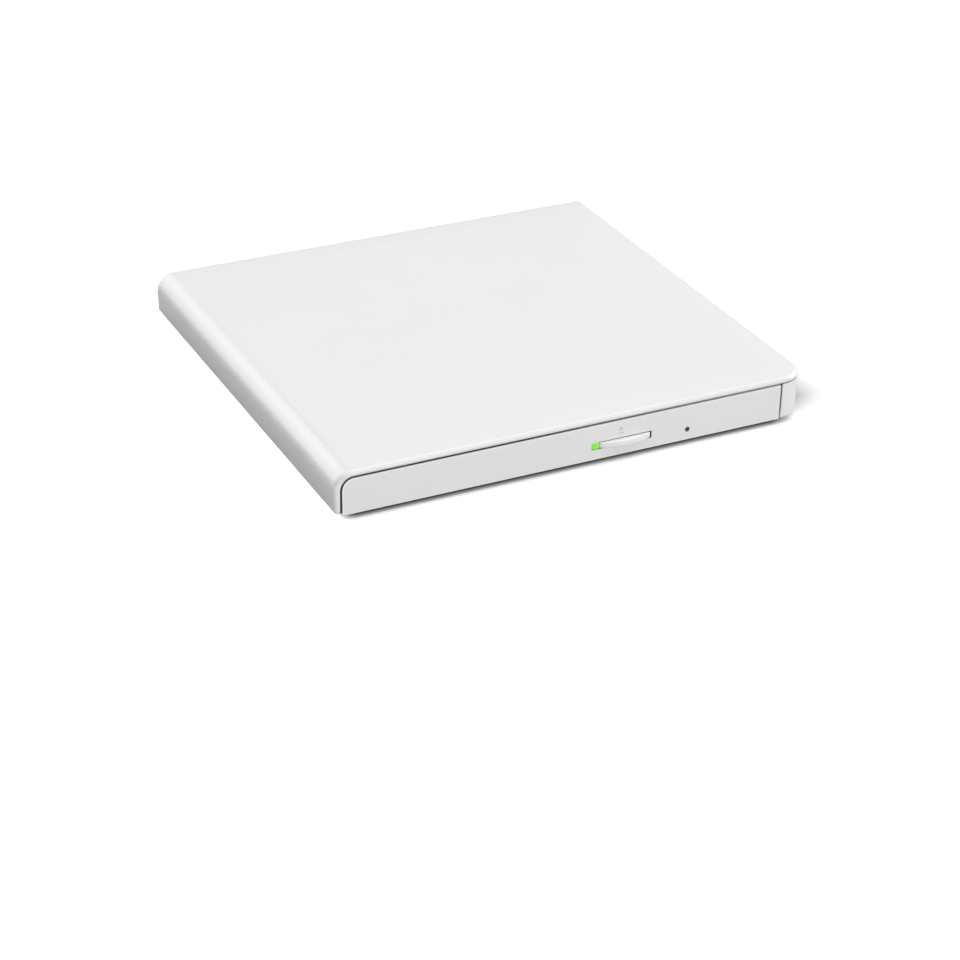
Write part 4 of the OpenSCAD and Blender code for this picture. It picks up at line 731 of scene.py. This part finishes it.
# Rows run from the outer core round the lip to the inner core, columns round the outline; the cores close it
def coverSheets():
    low, high = nodeBox("top_cover")
    lip, inEdge, core, thick = (coverShape[k] for k in ("lip", "innerEdge", "core", "top"))
    perCorner = coverShape["cornerSteps"]
    wallLong = high[2] - coverShape["shoulder"] - low[2]
    arcLong = coverShape["shoulder"] * math.pi / 2
    total = wallLong + arcLong + high[0] - low[0] - coverShape["shoulder"]
    sLine = np.concatenate([np.linspace(coverShape["wallCore"], wallLong, coverShape["wallSteps"])[:-1],
                            wallLong + arcLong * np.linspace(0, 1, coverShape["shoulderSteps"])[:-1],
                            np.linspace(wallLong + arcLong, total - core, coverShape["topSteps"])])
    yLine = np.linspace(low[1] + core, high[1] - core, coverShape["sideSteps"])
    t, u = (np.linspace(0, rightAngle, coverShape[k]) for k in ("lipSteps", "innerSteps"))
    insets = np.concatenate([lip * (1 - np.sin(t)), inEdge * (1 - np.cos(u))])[:, None]
    depths = np.concatenate([lip * (1 - np.cos(t)), thick - inEdge * (1 - np.sin(u))])
    corners = np.repeat(coverShape["corners"], perCorner)
    angle = cornerAngles(perCorner)
    right, back = np.repeat([0, 1, 1, 0], perCorner), np.repeat([0, 0, 1, 1], perCorner)
    reach, radius = np.maximum(corners, insets), np.maximum(corners - insets, 0)
    arcS = np.where(right, total - reach, reach) + radius * np.cos(angle)
    arcY = np.where(back, high[1] - reach, low[1] + reach) + radius * np.sin(angle)
    spanS, spanY = (np.tile(line, (len(insets), 1)) for line in (sLine, yLine))
    quarters = [slice(k * perCorner, (k + 1) * perCorner) for k in range(4)]
    sidesS = [spanS, 0 * spanY + total - insets, spanS[:, ::-1], 0 * spanY + insets]
    sidesY = [0 * spanS + low[1] + insets, spanY, 0 * spanS + high[1] - insets, spanY[:, ::-1]]
    rings = []
    for arc, sides in ((arcS, sidesS), (arcY, sidesY)):
        parts = [part for q, side in zip(quarters, sides) for part in (arc[:, q], side)]
        rings.append(np.concatenate(parts, axis=1))
    still = np.ones(perCorner)
    s0, s1, y0, y1 = sLine[0], sLine[-1], yLine[0], yLine[-1]
    coreS = np.concatenate([s0 * still, sLine, s1 * still, s1 + 0 * yLine,
                            s1 * still, sLine[::-1], s0 * still, s0 + 0 * yLine])
    coreY = np.concatenate([y0 * still, y0 + 0 * sLine, y0 * still, yLine,
                            y1 * still, y1 + 0 * sLine, y1 * still, yLine[::-1]])
    bandS, bandY = np.vstack([coreS, rings[0], coreS]), np.vstack([coreY, rings[1], coreY])
    bandDepth = np.concatenate([[0], depths, [thick]])[:, None]
    band = coverPoints(bandS, bandY, bandDepth + 0 * bandS)
    lipRows = len(t) + 2
    sheets = [(band[:lipRows], True), (band[lipRows - 1:], True)]
    gridS, gridY = np.meshgrid(sLine, yLine, indexing="ij")
    for depth in (0.0, thick):
        sheets.append((coverPoints(gridS, gridY, depth + 0 * gridS), False))
    return sheets


def makeCover():
    sheets = coverSheets()
    roof = nodeBox("top_cover")[1][2] - coverShape["top"] - coverShape["bossGap"]
    out, hole, foot, deep = (coverShape[k] for k in ("boss", "bossHole", "bossFoot", "bossDeep"))
    profile = [(0, deep), (hole, deep), (hole, foot), (out, foot), (out, roof), (0, roof)]
    for place in bossPlaces:
        sheets.append(turned(profile, place, coverShape["bossSteps"]))
    # The lip's underside and the cover's inner faces take the painted shade look
    inside = {"look": "coverInsideShade", "sheets": (1, 3)}
    makePiece("coverShell", sheets, "coverGloss", "case", ["top_cover"], inside=inside)


makeCover()

# Eject key: a bowed cap with a flange and a stem behind the bezel
keyShape = {
    "x": (6.05, 21.65), "z": (4.72, 6.46), "front": -68.75, "back": -64.95, "bulge": 1.5, "edge": 0.28,
    "flange": {"low": (16.0, -65.45, 4.1), "corner": 0.1, "edge": 0.05},
    "stem": {"low": (12.5, -64.9, 4.8), "right": 15.5, "top": 6.4, "corner": 0.2, "edge": 0.1},
}


def makeKey():
    low, high = nodeBox("eject_button")
    (left, right), (foot, top), back = (keyShape[k] for k in ("x", "z", "back"))
    flange, stem = keyShape["flange"], keyShape["stem"]
    flangeHigh, stemHigh = (high[0], back, high[2]), (stem["right"], high[1], stem["top"])
    sheets = bowedCap((left, low[1], foot), (right, back, top), keyShape["front"], keyShape["bulge"],
                      keyShape["edge"])
    sheets.append(roundedBlock(flange["low"], flangeHigh, flange["corner"], flange["edge"], axis=1))
    sheets.append(roundedBlock(stem["low"], stemHigh, stem["corner"], stem["edge"], axis=1))
    makePiece("ejectKey", sheets, "keySatin", "button", ["eject_button"])


makeKey()

# Light pipe beside the key: a bowed cap with a flange behind the bezel
pipeShape = {"x": (3.55, 5.95), "z": (4.6, 6.6), "edge": 0.2, "bulge": 0.12, "steps": 9,
             "flange": (-65.5, -64.95), "flangeCorner": 0.1, "flangeEdge": 0.05}


def makeLightPipe():
    low, high = nodeBox("led_lens")
    (left, right), (foot, top), (near, far) = (pipeShape[k] for k in ("x", "z", "flange"))
    bulge = pipeShape["bulge"]
    sheets = bowedCap((left, low[1], foot), (right, high[1], top), low[1] + bulge, bulge, pipeShape["edge"],
                      pipeShape["steps"])
    sheets.append(roundedBlock((low[0], near, low[2]), (high[0], far, high[2]), pipeShape["flangeCorner"],
                               pipeShape["flangeEdge"], axis=1))
    makePiece("lightPipe", sheets, "lightGreen", "tray", ["led_lens"])


makeLightPipe()

# Eject sign above the key: a triangle over a bar, printed a little proud
signShape = {"x": 12.4, "z": 9.0, "half": 1.05, "rise": 1.0, "gap": 0.73, "bar": 0.34, "proud": 0.04,
             "sunk": 0.05, "chamfer": 0.03}


def makeSign():
    x, z, half = (signShape[k] for k in ("x", "z", "half"))
    front = nodeBox("front_bezel")[0][1]
    bar = z - signShape["gap"]
    foot = bar - signShape["bar"]
    triangle = [(x - half, z), (x + half, z), (x, z + signShape["rise"])]
    strip = [(x - half, foot), (x + half, foot), (x + half, bar), (x - half, bar)]
    back, face = front + signShape["sunk"], front - signShape["proud"]
    sheets = [prism(shape, back, face, signShape["chamfer"], 1) for shape in (triangle, strip)]
    makePiece("ejectSign", sheets, "signGrey", "tray", crease=20)


makeSign()

# Painted shade in the gap: a dark strip under the cover's lip, a little off the closed bezel's left side,
# corner and top
gapShadeShape = {"round": 3.5, "off": 0.06, "thick": 0.38, "front": -68.5, "back": -67.5, "foot": 2.2,
             "steps": 19}


def makeGapShadeStrip():
    low, high = nodeBox("front_bezel")
    centre = np.array([low[0] + gapShadeShape["round"], high[2] - gapShadeShape["round"]])
    angle = np.linspace(math.pi, rightAngle, gapShadeShape["steps"])[:, None]
    inner = gapShadeShape["round"] + gapShadeShape["off"]
    edges = []
    for radius in (inner, inner + gapShadeShape["thick"]):
        arc = centre + radius * np.hstack([np.cos(angle), np.sin(angle)])
        foot, end = (centre[0] - radius, gapShadeShape["foot"]), (high[0], centre[1] + radius)
        edges.append(np.vstack([[foot], arc, [end]]))
    section = [(edges[0], "front"), (edges[1], "front"), (edges[1], "back"), (edges[0], "back")]
    grid = np.empty((len(edges[0]), len(section), 3))
    for k, (edge, side) in enumerate(section):
        grid[:, k, 0], grid[:, k, 1], grid[:, k, 2] = edge[:, 0], gapShadeShape[side], edge[:, 1]
    makePiece("gapShadeStrip", [(capped(grid), True)], "gapShadeDark", "case")


makeGapShadeStrip()

# Flat cable: one ribbon stays on the pan with the bend, the other stretches from the bend to the tray
cableShape = {"x": (31.7, 41.7), "thick": 0.2, "lower": 3.5, "upper": 6.4, "bend": -24.75, "fixed": 49.2,
              "tray": 40.2, "apart": 0.02, "lowerSteps": 60, "bendSteps": 25, "upperSteps": 90}


# A path of Y and Z, given half its thickness to either side and its width along X
def ribbon(path):
    along = pathWays(path)
    square = np.stack([-along[:, 1], along[:, 0]], 1) * cableShape["thick"] / 2
    over, under = path + square, path - square
    grid = np.empty((len(path), 4, 3))
    grid[:, :, 0] = np.array([*cableShape["x"], *cableShape["x"][::-1]])
    grid[:, :, 1:] = np.stack([over, over, under, under], 1)
    return capped(grid), True


def makeCable():
    low, high, bend, end = (cableShape[k] for k in ("lower", "upper", "bend", "tray"))
    lowerSteps, bendSteps, upperSteps = (cableShape[k] for k in ("lowerSteps", "bendSteps", "upperSteps"))
    radius, middle = (high - low) / 2, (high + low) / 2
    run = np.stack([np.linspace(cableShape["fixed"], bend, lowerSteps), np.full(lowerSteps, low)], 1)
    arc = np.linspace(-rightAngle, rightAngle, bendSteps)[1:]
    curve = np.stack([bend - radius * np.cos(arc), middle + radius * np.sin(arc)], 1)
    lower = [ribbon(np.vstack([run, curve]))]
    makePiece("cableLower", lower, "cableFilm", "case", ["flat_cable"])
    back = np.stack([np.linspace(bend + cableShape["apart"], end, upperSteps), np.full(upperSteps, high)], 1)
    across = {"to": "tray", "start": (0, bend * mm, high * mm), "end": (0, end * mm, high * mm)}
    makePiece("cableUpper", [ribbon(back)], "cableFilm", "case", across=across)


makeCable()

# Lead screw: its radius drops by the depth between ridges, which climb by one lead a turn, right-handed
screwShape = {"start": 3.1, "length": 54.9, "aside": 26.0, "height": 6.0, "radius": 1.0, "depth": 0.3,
              "lead": 3.0, "plain": (4.5, 2.5), "groove": 0.4, "flank": 0.2, "runOut": 0.6, "rows": 420,
              "sides": 24}
spindlePlace = np.array([-3.3, -1.75, 0.0])
sledAlong = np.array([-math.sqrt(0.5), -math.sqrt(0.5), 0.0])
sledAside = np.array([math.sqrt(0.5), -math.sqrt(0.5), 0.0])


def makeLeadScrew():
    up = np.array([0.0, 0.0, 1.0])
    length, runOut = screwShape["length"], screwShape["runOut"]
    along = np.linspace(0, length, screwShape["rows"])[:, None]
    angle = np.arange(screwShape["sides"]) * fullTurn / screwShape["sides"]
    phase = (along / screwShape["lead"] - angle / fullTurn) % 1
    ridge = np.clip((np.abs(phase - 0.5) * 2 - screwShape["groove"]) / screwShape["flank"], 0, 1)
    first, last = screwShape["plain"]
    cut = np.clip((along - first) / runOut, 0, 1) * np.clip((length - last - along) / runOut, 0, 1)
    radius = screwShape["radius"] - screwShape["depth"] * (1 - ridge * ridge * (3 - 2 * ridge)) * cut
    base = spindlePlace + sledAside * screwShape["aside"] + up * screwShape["height"]
    grid = base + sledAlong * (screwShape["start"] + along[..., None])
    grid = grid + radius[..., None] * (np.cos(angle)[:, None] * sledAside + np.sin(angle)[:, None] * up)
    sheets = [(capped(grid), True)]
    makePiece("leadScrew", sheets, "groundSteel", "lead_screw", ["lead_screw"])


makeLeadScrew()

# Ejector spring: a wire on a helix along Y, with closed turns at both ends
springShape = {"x": -48.3, "z": 5.6, "coil": 1.62, "wire": 0.22, "from": 41.76, "to": 57.84, "turns": 11.0,
               "closedTurns": 1.2, "closed": 0.46, "steps": 440}


def makeSpring():
    first, last, turns, ends, coil = (springShape[k] for k in ("from", "to", "turns", "closedTurns", "coil"))
    turn = np.linspace(0, turns, springShape["steps"])
    closed = springShape["closed"] * ends
    y = np.interp(turn, [0, ends, turns - ends, turns], [first, first + closed, last - closed, last])
    angle = turn * fullTurn
    path = np.stack([springShape["x"] + coil * np.cos(angle), y, springShape["z"] + coil * np.sin(angle)], 1)
    sheets = [wire(path, springShape["wire"], (0, 1, 0))]
    makePiece("ejectorSpring", sheets, "springSteel", "case", ["ejector_spring"])


makeSpring()

# Cross-head screws: a flat dome with a cross sunk in it, then the head's side and the shank.
# A head is its place, the axis it points along and which way.
crossShape = {"half": 0.2, "arm": 0.62, "deep": 0.6, "soft": 0.07, "taper": 0.35, "dome": 0.08, "rim": 0.08,
              "side": 0.16, "tip": 0.2, "rings": 26, "sides": 96}
screwSets = {
    "caseScrews": {"body": "case", "node": "case_screws", "head": (1.8, 0.6), "shank": (0.9, 6.0),
                   "heads": [((*place, 1.5), 2, 1) for place in bossPlaces]},
    "shellScrews": {"body": "case", "node": "shell_screws", "head": (1.5, 0.5), "shank": (0.8, 1.6),
                    "heads": [((x, y, 9.65), 0, way) for y in (-34.55, 47.45)
                              for x, way in ((-67.8, 1), (61.2, -1))]},
    "damperScrews": {"body": "tray", "node": "damper_screws", "head": (1.8, 0.5), "shank": (0.7, 3.8),
                     "heads": [((x, y, 4.4), 2, 1)
                               for x, y in ((-7.19, 19.82), (18.27, -5.64), (-52.44, -50.89))]},
}


# Depth of the face = dome * (r / head)^2 + the cross, full within half a slot's width and fading to
# the arm's end
def crossScrew(place, axis, way, head, shank):
    (headR, headH), (shankR, shankEnd) = head, shank
    rings, tip = crossShape["rings"], crossShape["tip"]
    face = np.linspace(0, 1, rings) * (headR - crossShape["rim"])
    ring = np.concatenate([face, [headR, headR, shankR, shankR, shankR - tip, 0]])
    angle = np.arange(crossShape["sides"]) * fullTurn / crossShape["sides"]
    x, y = ring[:, None] * np.cos(angle), ring[:, None] * np.sin(angle)
    narrow, wide = np.minimum(np.abs(x), np.abs(y)), np.maximum(np.abs(x), np.abs(y))
    arm = crossShape["arm"] * headR
    sink = np.clip((crossShape["half"] + crossShape["soft"] - narrow) / crossShape["soft"], 0, 1)
    sink = sink * np.clip((arm - wide) / (crossShape["taper"] * arm), 0, 1)
    dent = crossShape["dome"] * (ring / headR)[:, None] ** 2 + crossShape["deep"] * headH * sink
    levels = [crossShape["side"], headH, headH, shankEnd - tip, shankEnd, shankEnd]
    depth = np.concatenate([dent[:rings], np.array(levels)[:, None] + 0 * angle])
    flat = otherAxes(axis)
    grid = np.empty((*x.shape, 3))
    grid[..., flat[0]] = place[flat[0]] + x
    grid[..., flat[1]] = place[flat[1]] + y
    grid[..., axis] = place[axis] + way * depth
    return grid, True


def makeScrews():
    for name, group in screwSets.items():
        sheets = [crossScrew(*head, group["head"], group["shank"]) for head in group["heads"]]
        makePiece(name, sheets, "screwSteel", group["body"], [group["node"]], crease=50)


makeScrews()

# Window plate: closes the traverse's window below, a rectangle along the sled cut off at the tray's
# left and front
plateShape = {"along": (9.5, 65.0), "aside": (-24.4, 25.4), "inset": 0.4, "thick": 0.26, "off": 0.02,
              "chamfer": 0.15}


def makeWindowPlate():
    low = nodeBox("traverse_frame")[0]
    left, front = low[:2] + plateShape["inset"]
    (near, far), (one, other) = plateShape["along"], plateShape["aside"]
    marks = ((near, one), (near, other), (far, 0))
    first, second, third = ((spindlePlace + u * sledAlong + v * sledAside)[:2] for u, v in marks)
    slopeOne, slopeOther, end = first[0] - first[1], second[0] - second[1], third.sum()
    outline = [first, second, (front + slopeOther, front), (end - front, front), (left, end - left),
               (left, left - slopeOne)]
    top = low[2] - plateShape["off"]
    sheets = [prism(outline, top, top - plateShape["thick"], plateShape["chamfer"], 2)]
    makePiece("windowPlate", sheets, "plateSteel", "tray", crease=20)


makeWindowPlate()

# Socket contacts: five gold strips on the tongue
contactShape = {"x": 65.45, "pitch": 0.8, "half": 0.2, "y": (60.8, 67.3), "z": (8.36, 8.46), "corner": 0.08,
                "edge": 0.04}


def makeContacts():
    half, (near, far), (foot, top) = (contactShape[k] for k in ("half", "y", "z"))
    sheets = []
    for k in range(-2, 3):
        x = contactShape["x"] + k * contactShape["pitch"]
        low, high = (x - half, near, foot), (x + half, far, top)
        sheets.append(roundedBlock(low, high, contactShape["corner"], contactShape["edge"]))
    makePiece("socketContacts", sheets, "contactGold", "case")


makeContacts()

# Objective lens: a flange and a dome of one circle
lensShape = {"radius": 1.9, "dome": 1.6, "foot": 7.5, "flange": 8.3, "top": 9.0, "edge": 0.1,
             "rings": 14, "sides": 64}


def makeLens():
    low, high = nodeBox("objective_lens")
    out, reach, edge = (lensShape[k] for k in ("radius", "dome", "edge"))
    foot, flange, top = (lensShape[k] for k in ("foot", "flange", "top"))
    rise = top - flange
    bend = (reach ** 2 + rise ** 2) / (2 * rise)
    r = np.linspace(reach, 0, lensShape["rings"])
    dome = np.stack([r, top - bend + np.sqrt(bend ** 2 - r ** 2)], 1)
    profile = np.vstack([[(0, foot), (out - edge, foot), (out, foot + edge), (out, flange - edge),
                          (out - edge, flange)], dome])
    sheets = [turned(profile, (low + high) / 2, lensShape["sides"])]
    makePiece("objectiveLens", sheets, "lensGlass", "lens", ["objective_lens"])


makeLens()
print("small parts made")

# Finishes of the nodes that keep their own shape: the size of the edges' round, in millimetres
finishes = {
    "caseSatin": {"bottom_case": 0.2},
    "bezelSatin": {"front_bezel": 0.0},
    "footRubber": {"rubber_feet": 0.4},
    "sheetSteel": {"upper_shell": 0.1, "lower_shell": 0.1, "left_rail": 0.12, "right_rail": 0.12,
                   "rotor": 0.2},
    "slideNatural": {"left_guide": 0.12, "right_guide": 0.12, "ejector_housing": 0.12, "lock_lever": 0.1},
    "groundSteel": {"lock_pin": 0.1, "main_shaft": 0.1, "sub_shaft": 0.1, "spindle_shaft": 0.08,
                    "hub_balls": 0.0},
    "boardGreen": {"rear_board": 0.05, "bridge_board": 0.05, "switch_board": 0.05, "main_board": 0.05},
    "connectorBlack": {"rear_socket": 0.1, "bridge_plug": 0.1, "usb_tongue": 0.06, "eject_switch": 0.08},
    "socketIvory": {"rear_cable_socket": 0.1, "tray_cable_socket": 0.1},
    "chipEpoxy": {"bridge_chip": 0.06, "main_chips": 0.06},
    "socketTin": {"usb_shell": 0.06},
    "trayBlack": {"tray": 0.15},
    "lampGreen": {"status_led": 0.1},
    "plateBlack": {"mechanism_cover": 0.08, "actuator_cover": 0.06},
    "frameSteel": {"traverse_frame": 0.1, "motor_base": 0.06, "sled_motor": 0.12, "latch_solenoid": 0.1},
    "damperBlack": {"dampers": 0.15, "friction_ring": 0.08},
    "windingCopper": {"stator": 0.1},
    "hubBlack": {"turntable": 0.12},
    "pickupCasting": {"pickup_body": 0.15},
    "rodNatural": {"screw_follower": 0.1, "ejector_rod": 0.1},
    "holderBlack": {"lens_holder": 0.08},
}
for lookName, edges in finishes.items():
    for nodeName, edgeSize in edges.items():
        dress(nodeName, lookName, edgeSize)
print("nodes dressed:", sum(len(edges) for edges in finishes.values()))


# Stage: a pale floor that is white for the camera and for reflections, and soft lamps.
# Zones are in millimetres
stageLight = {
    "floorRadius": 8000.0, "floorSides": 64,
    # underShade and sideShade paint a shadow on the floor in underZone and sideZone; leftZone takes the far
    # glow, which washes out the shadow beside the case's left
    "bounce": 0.55, "floorWhite": 0.92, "glowNear": 0.22, "glowFar": 1.0, "underShade": 0.92,
    "sideShade": 0.68,
    "nearZone": [("X", -260, -130), ("X", 260, 130), ("Y", -330, -230), ("Y", 160, 90)],
    "leftZone": [("X", -67, -70), ("X", -130, -100), ("Y", -78, -66), ("Y", 110, 90)],
    "underZone": [("X", -70, -65), ("X", 69, 62), ("Y", -69.4, -66.6), ("Y", 72, 66)],
    "sideZone": [("X", 58, 70), ("X", 88, 73), ("Y", -66, -56), ("Y", 78, 62)],
    "mirrorGlow": (-72, -125, 0.15, 2.1),
    "worldGrey": 0.6, "slant": 0.8, "worldWhite": 1.0, "horizonGrey": 0.25, "horizon": (0.06, 0.36),
    "panel": {"towards": (-0.47, 0.83, 0.30), "reach": (0.76, 0.97), "bright": 4.8,
              "edge": (0.66, 0.75), "fade": (0.80, 0.87), "faded": 0.62},
    "lamps": [
        {"name": "overhead", "place": (-0.1, -0.25, 1.6), "aim": (0, 0, 0), "size": (1.8, 1.4), "power": 9.6},
        {"name": "frontLow", "place": (0.4, -1.6, 0.55), "aim": (0, 0, 0), "size": (1.2, 0.6), "power": 9.4},
    ],
}


def makeFloor(light):
    sides = light["floorSides"]
    grid = turned([(0, 0), (light["floorRadius"], 0)], (0, 0), sides)[0]
    mesh = bpy.data.meshes.new("floor")
    mesh.from_pydata((grid.reshape(-1, 3) * mm).tolist(), [], gridFaces(2, sides, True).tolist())
    closeSeams(mesh)
    floor = bpy.data.objects.new("floor", mesh)
    bpy.context.scene.collection.objects.link(floor)
    mesh.materials.append(floorLook(light))


# Floor: plain for light that falls on it, and for the camera pale with a glow, with a painted shadow under
# the case and at its right, and full glow beside its left that washes out the shadow there. In mirrors it
# also glows towards the left
def floorLook(light):
    material = bpy.data.materials.new("floorPale")
    tree = clearedTree(material)
    path = addNode(tree, "LightPath").outputs
    seen = calc(tree, "MAXIMUM", path["Is Camera Ray"], path["Is Transmission Ray"])
    bounce, white = light["bounce"], light["floorWhite"]
    plain = addNode(tree, "BsdfDiffuse", {"Color": (bounce, bounce, bounce, 1)})
    under, side = zoneMask(tree, light["underZone"]), zoneMask(tree, light["sideZone"])
    tone = spread(tree, under, 0.0, 1.0, white, white * (1 - light["underShade"]))
    tone = calc(tree, "MULTIPLY", tone, spread(tree, side, 0.0, 1.0, 1.0, 1 - light["sideShade"]))
    grey = addNode(tree, "CombineColor", {0: tone, 1: tone, 2: tone})
    pale = addNode(tree, "BsdfDiffuse", {"Color": grey.outputs[0]})
    near = calc(tree, "SUBTRACT", zoneMask(tree, light["nearZone"]), zoneMask(tree, light["leftZone"]), True)
    strength = spread(tree, near, 0.0, 1.0, light["glowFar"], light["glowNear"])
    unshaded = calc(tree, "SUBTRACT", 1.0, calc(tree, "MAXIMUM", under, side))
    glow = addNode(tree, "Emission", {"Strength": calc(tree, "MULTIPLY", strength, unshaded)})
    lit = addNode(tree, "AddShader", {0: pale.outputs[0], 1: glow.outputs[0]})
    mixed = addNode(tree, "MixShader", {0: seen, 1: plain.outputs[0], 2: lit.outputs[0]})
    start, end, low, high = light["mirrorGlow"]
    across = addNode(tree, "SeparateXYZ", {0: onPiece(tree)}).outputs[0]
    far = calc(tree, "MULTIPLY", path["Is Glossy Ray"], spread(tree, across, start * mm, end * mm, low, high))
    mirror = addNode(tree, "Emission", {"Strength": far})
    both = addNode(tree, "AddShader", {0: mixed.outputs[0], 1: mirror.outputs[0]})
    tree.links.new(both.outputs[0], addNode(tree, "OutputMaterial").inputs[0])
    return material


# Studio: white for the camera and through glass, grey as light, and in reflections white above a grey
# horizon. A soft panel behind on the left shows in the gloss of the cover's shoulder
def makeStudio(light):
    world = bpy.data.worlds.new("studio")
    bpy.context.scene.world = world
    tree = clearedTree(world)
    path = addNode(tree, "LightPath").outputs
    sight = addNode(tree, "TexCoord").outputs["Generated"]
    ways = addNode(tree, "SeparateXYZ", {0: sight}).outputs
    mirrored = spread(tree, ways[2], *light["horizon"], light["horizonGrey"], light["worldWhite"])
    grey, slant = light["worldGrey"], light["slant"]
    shed = spread(tree, ways[0], -1.0, 1.0, grey * (1 - slant), grey * (1 + slant))
    panel = light["panel"]
    towards = addNode(tree, "VectorMath", {0: sight, 1: panel["towards"]}, operation="DOT_PRODUCT")
    shine = spread(tree, towards.outputs["Value"], *panel["reach"], 0.0, panel["bright"])
    shine = calc(tree, "MULTIPLY", shine, spread(tree, ways[1], *panel["edge"], 0.0, 1.0))
    shine = calc(tree, "MULTIPLY", shine, spread(tree, ways[1], *panel["fade"], 1.0, panel["faded"]))
    mirrored = calc(tree, "ADD", mirrored, shine)
    clear = calc(tree, "MAXIMUM", path["Is Camera Ray"], path["Is Transmission Ray"])
    strength = addNode(tree, "Mix", {0: path["Is Glossy Ray"], 2: shed, 3: mirrored}).outputs[0]
    strength = addNode(tree, "Mix", {0: clear, 2: strength, 3: light["worldWhite"]}).outputs[0]
    sky = addNode(tree, "Background", {"Color": (1, 1, 1, 1), "Strength": strength})
    tree.links.new(sky.outputs[0], addNode(tree, "OutputWorld").inputs[0])


def makeLamp(lamp):
    data = bpy.data.lights.new(lamp["name"], "AREA")
    data.shape = "RECTANGLE"
    data.size, data.size_y = lamp["size"]
    data.energy = lamp["power"]
    thing = bpy.data.objects.new(lamp["name"], data)
    sight = Vector(lamp["aim"]) - Vector(lamp["place"])
    thing.rotation_euler = sight.to_track_quat("-Z", "Y").to_euler()
    thing.location = lamp["place"]
    bpy.context.scene.collection.objects.link(thing)


makeFloor(stageLight)
makeStudio(stageLight)
for lamp in stageLight["lamps"]:
    makeLamp(lamp)
print("stage set")
